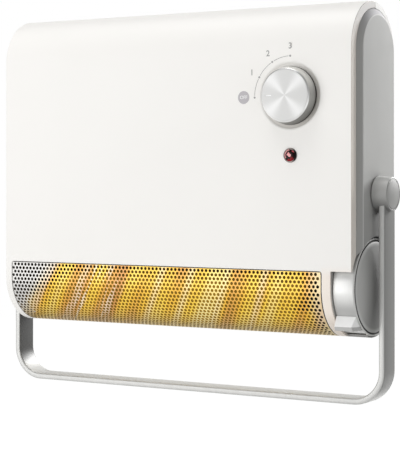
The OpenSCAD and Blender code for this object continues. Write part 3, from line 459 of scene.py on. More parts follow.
def rail_metal():
    """Satin bar stock, with painted light by the way each face points: its sides are painted darker
    than its edges, the inner sides darker still, and faces that point up are painted light.
    """
    p = Paint("rail_silver")
    # painted light and shade by facing: lit edges, shaded sides, lit upward faces
    edge, flat, level = (0.62, 0.62, 0.605), (0.20, 0.20, 0.194), (0.86, 0.86, 0.84)
    facing = p.facing()
    share = p.spread(p.math("ABSOLUTE", facing[0]), 0, 1, 0.55, 0.95, smooth=True)
    upward = p.spread(facing[2], 0, 1, 0.5, 0.95, smooth=True)
    lines = p.noise(1800, 3, stretch=(10, 10, 1))
    drawn = p.noise(260, 2, stretch=(1, 1, 0.02))
    # the inner sides get deeper painted shade
    inward = p.math("MULTIPLY", p.math("SIGN", p.axes()[0]), facing[0])
    flat = p.mix(p.spread(inward, 1, 0, -0.8, -0.5), flat, (0.068, 0.068, 0.066))
    base = p.mix(upward, p.mix(share, edge, flat), level)
    p.tinted(base, p.mix(p.spread(drawn, 0, 1), (0.94, 0.94, 0.94), (1.0, 1.0, 1.0)))
    p.gloss(lines, 0.38, 0.46)
    p.bump(lines, 0.08, 0.00005)
    p.set(Metallic=0.2)
    return p.material


def hub_grey():
    """Satin grey hub, with painted light: the round side is painted light at its top and dark at
    its bottom, and the flat face is an even grey.
    """
    p = Paint("hub_grey")
    face = p.spread(p.math("ABSOLUTE", p.facing()[0]), 0, 1, 0.6, 0.8)
    # painted light on the round side's top, painted shade at its bottom
    high = p.spread(p.axes()[2], 0, 1, PIVOT.z - 16 * MM, PIVOT.z + 16 * MM)
    side = p.mix(high, (0.15, 0.15, 0.146), (0.76, 0.76, 0.74))
    grain = p.spread(p.noise(60, 3), 0, 1)
    flat = p.mix(grain, (0.295, 0.295, 0.287), (0.305, 0.305, 0.297))
    p.colour(p.mix(face, side, flat))
    p.gloss(p.noise(60, 3), 0.38, 0.46)
    p.bump(p.noise(2600, 2), 0.08, 0.00008)
    p.set(Metallic=0.15)
    return p.material


def metal(name, colour, rough=0.35, brush=(1, 1, 1), tone=0.05, grain=1500, texture=0.1, **values):
    """Metal with brush lines or rolling marks along the axis that brush stretches least."""
    p = Paint(name)
    lines = p.noise(grain, 3, stretch=brush, rough=0.6)
    drift = p.spread(lines, 0, 1)
    p.colour(p.mix(drift, shade(colour, 1 - tone), shade(colour, 1 + tone)))
    p.gloss(lines, rough - 0.06, rough + 0.06)
    p.bump(lines, texture, 0.00005)
    p.set(Metallic=1.0, **values)
    return p.material


def shell_white():
    """Glossy white plastic, with the outlet's warm light painted on the rib beside it, and painted
    shade low on that rib, on the end rims, deeper towards their top, on the lip under the drum and
    in the knob's dish, darkest at its lower right.
    """
    p = Paint("shell_white")
    white, warm = (0.905, 0.89, 0.862), (0.93, 0.80, 0.68)
    drift = p.spread(p.noise(9, 3), 0, 1)
    base = p.mix(drift, shade(white, 0.994), shade(white, 1.006))
    x, _, z = p.axes()
    # painted warm light from the outlet on the rib beside it
    near = p.spread(x, 0, 0.55, GRILLE_X1 - 2 * MM, GRILLE_X1 + 2 * MM, smooth=True)
    below = p.spread(z, 1, 0, GRILLE_TOP - 8 * MM, GRILLE_TOP + 8 * MM, smooth=True)
    base = p.mix(p.math("MULTIPLY", near, below), base, warm)
    # painted shade on the lower part of that rib
    low = p.math("MULTIPLY", p.spread(z, 0.64, 0, -48 * MM, -18 * MM, smooth=True), near)
    base = p.mix(low, base, (0.30, 0.24, 0.19))
    # painted shade on the end rims, deeper towards their top
    side = p.spread(p.math("ABSOLUTE", x), 0, 1, HALF_W - 0.5 * MM, HALF_W - 0.15 * MM)
    crown = p.spread(z, 0, 1, TOP + 2 * MM, TOP + 42 * MM, smooth=True)
    base = p.mix(side, base, p.mix(crown, (0.69, 0.645, 0.59), (0.37, 0.352, 0.335)))
    # painted shade on the lip under the drum
    under = p.spread(z, 1, 0, -GRILLE_R + 3.5 * MM, -GRILLE_R + 4.5 * MM)
    lip_shade = p.math("MULTIPLY", p.spread(x, 0, 1, BAY_X - MM, BAY_X + MM), under)
    base = p.mix(lip_shade, base, (0.24, 0.235, 0.228))
    # painted shade in the knob's dish, darkest at its lower right where the knob's shadow falls
    radius = p.across(p.math("SUBTRACT", x, KNOB.x), p.math("SUBTRACT", z, KNOB.z))
    dish_shade = p.spread(radius, 1, 0, DISH_R - 2.4 * MM, DISH_R - 0.4 * MM, smooth=True)
    lean, middle = p.math("SUBTRACT", x, z), KNOB.x - KNOB.z
    lean = p.spread(lean, 0, 1, middle - 30 * MM, middle + 30 * MM)
    floor = p.mix(lean, (0.84, 0.82, 0.78), (0.55, 0.527, 0.49))
    p.colour(p.mix(dish_shade, base, floor))
    p.gloss(p.noise(60, 3), 0.44, 0.47)
    p.bump(p.noise(2600, 2), 0.05, 0.00006)
    p.set(Specular_IOR_Level=0.35)
    return p.material


# The outlet's light: slope of its streaks across the width and down the depth, and where the
# browner part and the pale streaks stand
GLOW_SLANT = 0.38
GLOW_DEPTH = 0.60
EMBER_X = -0.094
PALE_BANDS = (-0.166, -0.115, -0.011, 0.028, 0.074, 0.121)


def slanted(p):
    """The place across the slanted streaks, and coordinates whose noise is drawn out along them."""
    x, y, z = p.axes()
    depth = p.math("MULTIPLY_ADD", p.math("ADD", y, GRILLE_R), GLOW_DEPTH, x)
    across = p.math("MULTIPLY_ADD", p.math("SUBTRACT", x, GLOW_SLANT), z, depth)
    join = p.add("ShaderNodeCombineXYZ")
    p.join(across, join.inputs[0])
    p.join(p.math("MULTIPLY", z, 0.12), join.inputs[1])
    return across, join.outputs[0]


def from_left(p, slope, low, high):
    """Share of the light from the outlet's left end on, with an edge that leans by slope."""
    x, _, z = p.axes()
    return p.spread(p.math("MULTIPLY_ADD", z, slope, x), 0, 1, low, high, smooth=True)


def grille_sheet():
    """Satin silver sheet that carries the slanted golden streaks of the heater's light, painted on
    and glowing, with painted shade under its bend, inside its holes and in a thin line along its
    border.
    """
    p = Paint("grille_sheet")
    x, y, z = p.axes()
    across, streaks = slanted(p)
    left = from_left(p, -0.9, -0.190, -0.154)
    share = p.math("MULTIPLY", left, p.spread(x, 1, 0.5, 0.170, 0.190, smooth=True))
    ember = p.math("ABSOLUTE", p.math("SUBTRACT", across, EMBER_X))
    ember = p.spread(ember, 1, 0, 0.016, 0.048, smooth=True)
    broad = p.math("MULTIPLY_ADD", ember, -0.12, p.noise(26, 1, vector=streaks))
    fine = p.noise(170, 1, vector=streaks)
    gold = p.ramp(
        broad,
        [
            (0.26, (0.50, 0.24, 0.08)),
            (0.36, (0.62, 0.29, 0.06)),
            (0.44, (0.80, 0.45, 0.04)),
            (0.54, (0.86, 0.58, 0.06)),
            (0.70, (0.84, 0.68, 0.26)),
        ],
    )
    pale = p.math("MULTIPLY", ember, p.spread(fine, 0, 0.55, 0.54, 0.66, smooth=True))
    for place in PALE_BANDS:
        band = p.math("ABSOLUTE", p.math("SUBTRACT", across, place))
        pale = p.math("MAXIMUM", pale, p.spread(band, 0.34, 0, 0, 0.008, smooth=True))
    lit = p.mix(pale, gold, (0.88, 0.84, 0.72))
    lit = p.mix(p.spread(left, 0.85, 0, 0.15, 0.9), lit, (0.80, 0.72, 0.55))
    # painted shade under the sheet's bend
    under = p.spread(z, 0.8, 0, -GRILLE_R, -GRILLE_R * 0.5, smooth=True)
    silver = (0.66, 0.65, 0.63)
    # a painted shadow line along the sheet's border, where it meets the shell
    run = p.add("ShaderNodeAttribute", attribute_name="border")
    border = p.spread(run.outputs["Fac"], 1, 0, 0.45 * MM, 0.75 * MM)
    face = p.mix(under, p.mix(share, silver, lit), (0.34, 0.25, 0.10))
    # painted shade on the hole walls and the sheet's back
    radius = p.across(y, p.math("MINIMUM", z, 0.0))
    hole_shade = p.spread(radius, 1, 0, GRILLE_R - 0.2 * MM, GRILLE_R - 0.1 * MM)
    face = p.mix(hole_shade, face, (0.07, 0.045, 0.015))
    p.colour(p.mix(border, face, (0.06, 0.055, 0.05)))
    # the lit part of the sheet glows: painted light, the sheet is no lamp
    glow = p.mix(share, (0.0, 0.0, 0.0), face)
    p.join(p.mix(border, glow, (0.0, 0.0, 0.0)), p.shader.inputs["Emission Color"])
    p.gloss(p.noise(900, 2, stretch=(1, 8, 8)), 0.34, 0.46)
    p.bump(p.noise(900, 2, stretch=(1, 8, 8)), 0.06, 0.00005)
    p.set(Metallic=0.2, Emission_Strength=0.22)
    return p.material


def lit_inside(name, colour, glow, strength):
    """Sheet metal inside the outlet, its colour painted near black as the shade in there, with the
    element's light painted on it as a glow except at its ends and near the top. It is for CAD
    nodes, whose coordinates are the frame's own."""
    p = Paint(name)
    p.place = p.shifted(ORIGIN)
    drift = p.spread(p.noise(26, 1, vector=slanted(p)[1]), 0, 1)
    tint = p.mix(drift, shade(glow, 0.6), shade(glow, 1.3))
    x, _, z = p.axes()
    left = from_left(p, -1.1, -0.188, -0.162)
    share = p.math("MULTIPLY", left, p.spread(x, 1, 0, 0.135, 0.160, smooth=True))
    high = p.spread(z, 1, 0, GRILLE_TOP - 24 * MM, GRILLE_TOP - 6 * MM, smooth=True)
    share = p.math("MULTIPLY", share, high)
    rolled = p.noise(700, 3, stretch=(1, 10, 10))
    # the near-black colour given to these parts is painted shade inside the outlet
    p.colour(p.mix(p.spread(rolled, 0, 1), shade(colour, 0.93), shade(colour, 1.07)))
    # painted glow of the element's light
    p.join(p.mix(share, (0.0, 0.0, 0.0), tint), p.shader.inputs["Emission Color"])
    p.gloss(rolled, 0.5, 0.6)
    p.bump(rolled, 0.08, 0.00005)
    p.set(Metallic=0.4, Emission_Strength=strength)
    return p.material


def spun_face():
    """Spun metal: fine rings, and a painted crossed sheen in its colour, of the kind that turning
    lines give.
    """
    p = Paint("spun_face")
    x, _, z = p.split(p.shifted((KNOB.x, 0, KNOB.z)))
    radius = p.across(x, z)
    angle = p.math("ARCTAN2", z, x)
    # painted sheen: bright and dull wedges crossing the face
    wave = p.math("COSINE", p.math("MULTIPLY_ADD", angle, 4.0, math.radians(180 + 6)))
    sheen = p.math("POWER", p.spread(wave, 0, 1, -1, 1), 2.4)
    line = p.add("ShaderNodeCombineXYZ")
    p.join(radius, line.inputs[0])
    p.join(p.math("MULTIPLY", angle, 0.0004), line.inputs[1])
    rings = p.noise(5200, 2, vector=line.outputs[0])
    dull, bright = (0.72, 0.72, 0.71), (0.93, 0.93, 0.925)
    _, depth, _ = p.axes()
    mark = p.spread(depth, 0, 1, KNOB_FACE_Y + 0.1 * MM, KNOB_FACE_Y + 0.2 * MM)
    mark = p.math("MULTIPLY", mark, p.spread(radius, 1, 0, PLATE_R - 4 * MM, PLATE_R - 3 * MM))
    base = p.mix(mark, p.mix(sheen, dull, bright), (1.0, 1.0, 1.0))
    p.tinted(base, p.mix(p.spread(rings, 0, 1), (0.96, 0.96, 0.96), (1.0, 1.0, 1.0)))
    p.gloss(rings, 0.3, 0.42)
    p.bump(rings, 0.12, 0.00004)
    p.turned("Y")
    p.set(Anisotropic=0.5, Specular_IOR_Level=0.25)
    return p.material


def drum_silver():
    """Satin silver moulding with turned lines round it, painted shade on its lower half and on the
    tab's lower part, a painted highlight on the tab's top and a painted reflection along the drum's
    bottom.
    """
    p = Paint("drum_silver")
    _, y, z = p.axes()
    # painted reflection along the drum's bottom
    low = p.spread(z, 1, 0, -DRUM_R + 2 * MM, -DRUM_R + 6 * MM, smooth=True)
    tab = p.spread(p.across(y, z), 0, 1, DRUM_R + 0.4 * MM, DRUM_R + 1.2 * MM)
    tab_off = p.math("SUBTRACT", 1.0, tab)
    lines = p.spread(p.noise(900, 2, stretch=(1, 0.05, 0.05)), 0, 1)
    # painted shade on the drum's lower half
    fall = p.spread(z, 1, 0, -DRUM_R * 0.48, -DRUM_R * 0.16, smooth=True)
    base = p.mix(lines, (0.78, 0.78, 0.765), (0.81, 0.81, 0.795))
    base = p.mix(p.math("MULTIPLY", fall, tab_off), base, (0.53, 0.53, 0.52))
    # painted highlight on the tab's top face, painted shade on its lower part
    edge = p.spread(z, 1, 0, TAB_LOW + 4.2 * MM, TAB_LOW + 4.7 * MM)
    base = p.mix(tab, base, p.mix(edge, (0.98, 0.98, 0.97), (0.5, 0.5, 0.49)))
    p.colour(p.mix(low, base, (0.95, 0.95, 0.94)))
    p.gloss(lines, 0.38, 0.42, 0, 1)
    p.turned("X")
    p.join(p.math("MULTIPLY", tab_off, 0.33), p.shader.inputs["Metallic"])
    p.set(Anisotropic=0.85, Anisotropic_Rotation=0.25)
    return p.material


def disc_grey():
    """Grey domed insert with a groove inside its silver rim; painted shade darkens the groove and
    the dome from its front edge towards its middle, and painted light lightens the dome near its
    edge.
    """
    p = Paint("disc_grey")
    _, y, z = p.axes()
    radius = p.across(y, z)
    rim = p.spread(radius, 0, 1, DISC_R - 1.7 * MM, DISC_R - 1.5 * MM)
    # painted shade in the groove
    inside = p.spread(radius, 1, 0, DISC_R - 3.75 * MM, DISC_R - 3.55 * MM)
    # painted shade: the dome darker from its front edge towards its middle
    middle = p.spread(y, 0, 1, -DISC_R * 0.85, -DISC_R * 0.2, smooth=True)
    grain = p.spread(p.noise(60, 3), 0, 1)
    dome = p.mix(middle, p.mix(grain, (0.47, 0.47, 0.46), (0.49, 0.49, 0.48)), (0.27, 0.27, 0.262))
    # painted light near the dome's edge
    border = p.spread(radius, 0, 0.8, DISC_R - 9 * MM, DISC_R - 4 * MM, smooth=True)
    dome = p.mix(border, dome, (0.56, 0.56, 0.55))
    base = p.mix(inside, (0.06, 0.06, 0.058), dome)
    p.colour(p.mix(rim, base, (0.62, 0.62, 0.605)))
    p.gloss(p.noise(60, 3), 0.52, 0.58)
    p.bump(p.noise(2600, 2), 0.08, 0.00008)
    p.set(Metallic=0.1, Specular_IOR_Level=0.2)
    return p.material


def knob_side():
    """Turned metal, with painted light: a painted highlight on the chamfer round the face, toned
    down at its top, the side painted lighter at its top and darker at its bottom, and a painted
    shadow band round its base where it meets the dish.
    """
    p = Paint("knob_silver")
    lines = p.noise(2400, 2, stretch=(0.2, 1, 0.2))
    _, y, z = p.axes()
    rim = p.spread(y, 1, 0, KNOB_FACE_Y + 1.2 * MM, KNOB_FACE_Y + 1.9 * MM)
    # painted shadow round the base, where the knob meets the dish
    low = p.spread(y, 0, 1, knob_hi.y - 2.4 * MM, knob_hi.y - 1.7 * MM)
    # painted light on the side's top, painted shade at its bottom
    high = p.spread(z, 0, 1, KNOB.z - 2 * MM, KNOB.z + 24 * MM, smooth=True)
    shade_low = p.spread(z, 1, 0, KNOB.z - 24 * MM, KNOB.z - 2 * MM, smooth=True)
    side = p.mix(p.spread(lines, 0, 1), (0.36, 0.357, 0.345), (0.385, 0.382, 0.37))
    side = p.mix(shade_low, p.mix(high, side, (0.78, 0.775, 0.75)), (0.24, 0.238, 0.23))
    # painted highlight on the chamfer, toned down at its top
    chamfer = p.mix(high, (0.9, 0.9, 0.89), (0.55, 0.55, 0.54))
    p.colour(p.mix(low, p.mix(rim, side, chamfer), (0.05, 0.048, 0.045)))
    p.gloss(lines, 0.32, 0.38)
    p.bump(lines, 0.08, 0.00004)
    p.set(Metallic=0.75)
    return p.material


def bezel_bright():
    """Polished ring, with painted shade that makes its right side near black."""
    p = Paint("bezel_bright")
    x, _, _ = p.axes()
    # painted shade on the ring's right side
    right = p.spread(x, 0, 1, LAMP.x + 2 * MM, LAMP.x + 6.5 * MM, smooth=True)
    lines = p.noise(2400, 2)
    grey = p.mix(p.spread(lines, 0, 1), (0.40, 0.345, 0.325), (0.43, 0.375, 0.355))
    p.colour(p.mix(right, grey, (0.01, 0.008, 0.008)))
    p.gloss(lines, 0.34, 0.4)
    p.set(Metallic=0.2, Specular_IOR_Level=0.15)
    return p.material


def lens_red():
    """Deep red cut plastic, its colour painted per facet: dark facets as painted shade, pink ones
    as painted highlights.
    """
    p = Paint("lens_red")
    facet = p.add("ShaderNodeAttribute", attribute_name="facet")
    value = facet.outputs["Fac"]
    colour = p.ramp(
        value,
        [
            (0.0, (0.004, 0.001, 0.001)),
            (0.35, (0.05, 0.002, 0.004)),
            (0.65, (0.35, 0.012, 0.02)),
            (0.85, (0.75, 0.14, 0.16)),
            (1.0, (0.95, 0.55, 0.55)),
        ],
    )
    p.colour(colour)
    p.gloss(p.noise(700, 2), 0.2, 0.26)
    p.set(Specular_IOR_Level=0.1)
    return p.material


WHITE = shell_white()
# the rear housing's white plastic, painted grey as even shade against the strong rear lamp
REAR = plastic("rear_white", (0.60, 0.595, 0.575), rough=0.5, texture=0.16)
CAP = cap_plastic()
SHEET = grille_sheet()
DRUM = drum_silver()
DISC = disc_grey()
RAIL = rail_metal()
HUB = hub_grey()
KNOB_SIDE = knob_side()
FACE = spun_face()
BEZEL = bezel_bright()
LENS = lens_red()
PRINT = plastic("print_grey", (0.33, 0.325, 0.32), rough=0.5)
BADGE = plastic("print_lilac", (0.475, 0.455, 0.475), rough=0.5)
BADGE_WORD = plastic("print_white", (0.9, 0.9, 0.9), rough=0.5)

STEEL = metal("sheet_steel", (0.52, 0.53, 0.54), brush=(1, 12, 12))
BRIGHT = metal("steel_bright", (0.62, 0.63, 0.64), rough=0.25, brush=(12, 1, 12))
ZINC = metal("bracket_zinc", (0.58, 0.6, 0.62), rough=0.42, grain=260, tone=0.09)
BRONZE = metal("bronze", (0.5, 0.33, 0.15), rough=0.45, grain=2200)
STATOR = metal("stator_steel", (0.28, 0.29, 0.3), rough=0.5, brush=(40, 1, 1))
COPPER = metal("coil_copper", (0.6, 0.26, 0.11), rough=0.3, brush=(1, 30, 1))
FIN = metal("fin_aluminium", (0.75, 0.75, 0.74), rough=0.35, brush=(1, 1, 12))
TERMINAL = metal("terminal_brass", (0.7, 0.52, 0.22), rough=0.3, brush=(1, 12, 12))
BLACK = plastic("black_moulding", (0.03, 0.031, 0.033), rough=0.5, tone=0.1)
WHITE_PART = plastic("white_moulding", (0.78, 0.77, 0.74), rough=0.45)
TAN = plastic("fuse_tan", (0.6, 0.54, 0.42), rough=0.6, tone=0.05)
CERAMIC = plastic("ceramic", (0.62, 0.55, 0.43), rough=0.7, tone=0.06, grain=1500, texture=0.3)
RUBBER = plastic("rubber_dark", (0.035, 0.035, 0.036), rough=0.75, tone=0.1, grain=1400,
                 texture=0.25)
LEAD = plastic("lead_brown", (0.16, 0.045, 0.025), rough=0.45, tone=0.06)
# near-black colours stand for the shade inside the outlet, and the glow is painted light
CHAMBER = lit_inside("chamber_steel", (0.03, 0.029, 0.027), (0.50, 0.27, 0.02), 0.5)
VANE = lit_inside("vane_grey", (0.04, 0.039, 0.037), (0.50, 0.27, 0.02), 0.5)

NODE_FINISH = {
    "rear_housing": REAR, "bay_plate": REAR, "outlet_chamber": CHAMBER, "air_vane": VANE,
    "rear_guide": STEEL, "front_guide": STEEL, "fan_frame_left": STEEL, "fan_frame_right": STEEL,
    "fan_wheel": BLACK, "fan_shaft": BRIGHT, "fan_bearing": BRONZE,
    "motor_laminations": STATOR, "motor_rotor": STATOR, "motor_coil": COPPER,
    "motor_brackets": ZINC, "heater_side_rails": FIN, "heater_fins": FIN, "ceramic_bars": CERAMIC,
    "heater_insulators": BLACK, "heater_terminals": TERMINAL, "thermal_cutout": BLACK,
    "thermal_fuse": TAN, "vane_bush": WHITE_PART, "drum_washer": RUBBER,
    "pivot_bolts": BRIGHT, "pivot_washers": RUBBER, "pivot_nuts": BRIGHT,
    "selector_shaft": BRIGHT, "selector_switch": BLACK, "switch_nut": BRIGHT,
    "control_bracket": ZINC, "shaft_seal": RUBBER, "indicator_lamp": WHITE_PART,
    "indicator_nut": BLACK, "terminal_block": WHITE_PART, "cord_clamp": WHITE_PART,
    "cable_grommet": RUBBER, "wiring": LEAD, "wall_bracket": ZINC, "wall_pads": RUBBER,
    "housing_screws": BRIGHT,
}
for node, material in NODE_FINISH.items():
    mesh = frame["nodes"][node].data
    mesh.materials.clear()
    mesh.materials.append(material)


# ---- the front shell ----
def stadium_ring(r, x, steps=40):
    """The outline of the rims' opening at radius r, as points at x."""
    bottom = arc(RIM_BACK, 0, r, 180, 360, steps)
    top = arc(RIM_BACK, TOP, r, 0, 180, steps)
    return [Vector((x, y, z)) for y, z in bottom + top]


def shell_section(place, t):
    """The shell's section, its end rims turned in, at share t of an arc that ends at the seam.
    place is 'top' or 'bottom'."""
    inner = BODY_R - WALL
    rim_x = HALF_W - RIM_T
    section = [
        (-HALF_W, RIM_R), (-HALF_W, BODY_R), (HALF_W, BODY_R), (HALF_W, RIM_R),
        (rim_x, RIM_R), (rim_x, inner), (-rim_x, inner), (-rim_x, RIM_R),
    ]
    ring = []
    for x, r in section:
        back = RIM_BACK if r == RIM_R else 0
        end = math.acos((SEAM - back) / r)
        a = end + t * (math.pi - end)
        y, z = back + r * math.cos(a), r * math.sin(a)
        ring.append(Vector((x, y, TOP + z)) if place == "top" else Vector((x, y, -z)))
    return ring


def rounded_top(x0, x1, z0, z1, r, steps=8):
    """Outline in X and Z with two rounded upper corners."""
    right = arc(x1 - r, z1 - r, r, 0, 90, steps)
    left = arc(x0 + r, z1 - r, r, 90, 180, steps)
    return [(x0, z0), (x1, z0)] + right + left


def front_shell():
    """The white shell with its outlet, the drum's bay, the dish and the indicator's hole."""
    steps = 40
    rings = [shell_section("top", i / steps) for i in range(steps + 1)]
    rings += [shell_section("bottom", 1 - i / steps) for i in range(steps + 1)]
    shell = loft(rings, caps=True)
    reach = BODY_R + 8 * MM
    outlet = prism(rounded_top(GRILLE_X0, GRILLE_X1, -reach, GRILLE_TOP, 3 * MM), "Y", -reach, 0)
    notch = prism(
        [(-reach, -reach), (-LIP_REACH, -reach), (-LIP_REACH, NOTCH_TOP), (-reach, NOTCH_TOP)],
        "X", BAY_X, HALF_W + MM,
    )
    high_room = prism(arc(0, 0, DISC_ROOM_R, 0, 180, 80), "X", HALF_W - 8.1 * MM, HALF_W + 8.1 * MM)
    y0 = -BODY_R
    dish = lathe(
        [(0, y0 - MM), (DISH_R + MM, y0 - MM), (DISH_R + 0.6 * MM, y0),
         (DISH_R + 0.2 * MM, y0 + 0.03 * MM), (DISH_R - 0.5 * MM, y0 + 0.22 * MM),
         (DISH_R - 1.3 * MM, y0 + 0.62 * MM),
         (DISH_R - 2 * MM, y0 + 0.98 * MM), (DISH_R - 2.7 * MM, y0 + 1.17 * MM),
         (DISH_R - 3.4 * MM, y0 + 1.2 * MM), (5.2 * MM, y0 + 1.2 * MM),
         (5.2 * MM, y0 + 6 * MM), (0, y0 + 6 * MM)], "Y", (KNOB.x, 0, KNOB.z), steps=144)
    lamp = lathe(
        [(0, y0 - MM), (6.2 * MM, y0 - MM), (6.2 * MM, y0 + 6 * MM), (0, y0 + 6 * MM)],
        "Y", (LAMP.x, 0, LAMP.z), steps=64)
    shell = carve(shell, outlet, notch, high_room, dish, lamp)
    piece("front_shell_skin", shell, WHITE, "housing", ["front_shell"],
          bevel=0.55 * MM, smooth=36)


front_shell()


# ---- the end caps ----
def end_cap(cut):
    """The right-hand cap; cut makes room in it for the drum's disc."""
    neck = RIM_R - 0.3 * MM
    flat = neck - CAP_SLOPE
    profile = [
        (neck, HALF_W - 6 * MM), (neck, HALF_W - 0.3 * MM), (neck - 0.3 * MM, HALF_W + 0.1 * MM),
        (flat + 0.6 * MM, CAP_X - 0.42 * MM), (flat + 0.1 * MM, CAP_X - 0.2 * MM),
        (flat - 0.5 * MM, CAP_X - 0.05 * MM), (flat - 1.1 * MM, CAP_X),
    ]
    bm = loft([stadium_ring(r, x) for r, x in profile], caps=True)
    if cut:
        room = lathe([(0, HALF_W - 9 * MM), (DISC_ROOM_R, HALF_W - 9 * MM),
                      (DISC_ROOM_R, CAP_X + 3 * MM), (0, CAP_X + 3 * MM)], "X", steps=160)
        bm = carve(bm, room)
    return bm


piece("end_cap_right_skin", end_cap(True), CAP, "housing", ["end_cap_right"], smooth=40)
piece("end_cap_left_skin", mirrored(end_cap(False)), CAP, "housing",
      ["end_cap_left"], smooth=40)


# ---- the perforated outlet ----
def grille():
    """A flat sheet with staggered holes, thickened and bent round the bottom."""
    gap, sheet = 0.45 * MM, 0.6 * MM
    x0, x1 = GRILLE_X0 + gap, GRILLE_X1 - gap
    flat = GRILLE_TOP - gap
    run = flat + GRILLE_R * (math.pi / 2) - 0.5 * MM
    hole_r, pitch, sides = 1.82 * MM, 4.98 * MM, 12
    first_x, first_s, per_row = -213.1 * MM, 2.9 * MM, 81
    row_step = pitch * math.sin(math.radians(60))
    corner = 2.6 * MM
    outline = arc(x1 - corner, corner, corner, 0, -90, 6)
    outline += arc(x0 + corner, corner, corner, -90, -180, 6)
    bend = [corner + (run - corner) * i / 40 for i in range(1, 41)]
    outline += [(x0, s) for s in bend]
    across = 60
    outline += [(x0 + (x1 - x0) * i / across, run) for i in range(1, across)]
    outline += [(x1, s) for s in reversed(bend)]
    points = [Vector(p) for p in reversed(outline)]
    faces = [list(range(len(points)))]
    row = 0
    while first_s + row * row_step < run - hole_r - MM:
        s = first_s + row * row_step
        odd = row % 2
        for i in range(per_row + odd):
            cx = first_x + (i - 0.5 * odd) * pitch
            start = len(points)
            points += [Vector(p) for p in arc(cx, s, hole_r, 15, 375 - 360 / sides, sides - 1)]
            faces.append(list(range(start, start + sides)))
        row += 1
    coords, _, tris, _, _, origin = geometry.delaunay_2d_cdt(points, [], faces, 0, WELD)
    bm = bmesh.new()
    verts = [bm.verts.new((p.x, 0, p.y)) for p in coords]
    for tri, source in zip(tris, origin):
        if source == [0]:
            bm.faces.new([verts[i] for i in tri])
    lone = [v for v in bm.verts if not v.link_faces]
    bmesh.ops.delete(bm, geom=lone, context="VERTS")
    front = list(bm.faces)
    back = bmesh.ops.duplicate(bm, geom=bm.verts[:] + bm.edges[:] + bm.faces[:])
    copy_of = back["vert_map"]
    for v in [e for e in back["geom"] if isinstance(e, bmesh.types.BMVert)]:
        v.co.y = sheet
    edges = [e for f in front for e in f.edges if e.is_boundary]
    for e in dict.fromkeys(edges):
        a, b = e.verts
        bm.faces.new((a, b, copy_of[b], copy_of[a]))
    inset = []
    for v in bm.verts:
        x, depth, s = v.co
        inset.append(min(x - x0, x1 - x, s))
        r = GRILLE_R - depth
        if s <= flat:
            v.co = (x, -r, flat - s)
        else:
            a = (s - flat) / GRILLE_R
            v.co = (x, -r * math.cos(a), -r * math.sin(a))
    bmesh.ops.recalc_face_normals(bm, faces=bm.faces)
    border = bm.verts.layers.float.new("border")
    for v, near in zip(bm.verts, inset):
        v[border] = near
    piece("outlet_sheet", bm, SHEET, "housing", ["outlet_grille"], smooth=30)


grille()


# ---- the airflow drum and its disc ----
def drum():
    """The drum, with its finger tab cut slanting at the outer end."""
    e = 0.7 * MM
    body = lathe(
        [(0, DRUM_X0), (DRUM_R - e, DRUM_X0), (DRUM_R - 0.3 * e, DRUM_X0 + 0.3 * e),
         (DRUM_R, DRUM_X0 + e), (DRUM_R, DRUM_X1 - e), (DRUM_R - 0.3 * e, DRUM_X1 - 0.3 * e),
         (DRUM_R - e, DRUM_X1), (0, DRUM_X1)], "X", steps=180)
    root = math.radians(33)
    tip_y, tip_z, low = -TAB_R * math.cos(TAB_TURN), -TAB_R * math.sin(TAB_TURN), TAB_LOW
    side = [
        (-(DRUM_R - MM) * math.cos(root), -(DRUM_R - MM) * math.sin(root)),
        (tip_y, tip_z),
        (tip_y + MM, low),
        (-math.sqrt(DRUM_R**2 - low**2) + MM, low),
        (-DRUM_R * 0.6, -DRUM_R * 0.6),
    ]
    tab = prism(side, "X", DRUM_X0 + 0.2 * MM, DRUM_X1)
    corners = [
        (DRUM_X1, -DRUM_R * math.cos(root) + MM), (DRUM_X1 + 5 * MM, 0),
        (DRUM_X1 + 5 * MM, -TAB_R - 5 * MM), (DRUM_X1 - 3.4 * MM, -TAB_R - 5 * MM),
        (DRUM_X1 - 3.4 * MM, tip_y),
    ]
    ends = (-2 * TAB_R, 2 * TAB_R)
    cutter = loft([[Vector((x, y, z)) for x, y in corners] for z in ends], caps=True)
    tab = carve(tab, cutter)
    piece("airflow_drum_skin", merged(body, tab), DRUM, "airflow", ["airflow_drum"],
          bevel=0.5 * MM, smooth=34)


def disc():
    """The domed insert: a rim, a groove and a dome."""
    x0, x1 = disc_lo.x + 4 * MM, disc_hi.x
    rim = x0 + 1.5 * MM
    profile = [
        (0, x0), (DISC_R - 0.6 * MM, x0), (DISC_R, x0 + 0.4 * MM), (DISC_R, rim - 0.6 * MM),
        (DISC_R - 0.3 * MM, rim - 0.3 * MM), (DISC_R - 0.8 * MM, rim), (DISC_R - 1.5 * MM, rim),
        (DISC_R - 1.6 * MM, rim - 0.9 * MM), (DISC_R - 3.5 * MM, rim - 0.9 * MM),
        (DISC_R - 3.6 * MM, rim - 0.1 * MM),
    ]
    edge_r = DISC_R - 3.9 * MM
    base = rim + 0.15 * MM
    rings = 24
    profile += [
        (edge_r * (1 - i / rings), base + (x1 - base) * (1 - (1 - i / rings) ** 2))
        for i in range(rings + 1)
    ]
    piece("drum_disc_skin", lathe(profile, "X", steps=180), DISC, "airflow",
          ["drum_disc"], smooth=50)


drum()
disc()


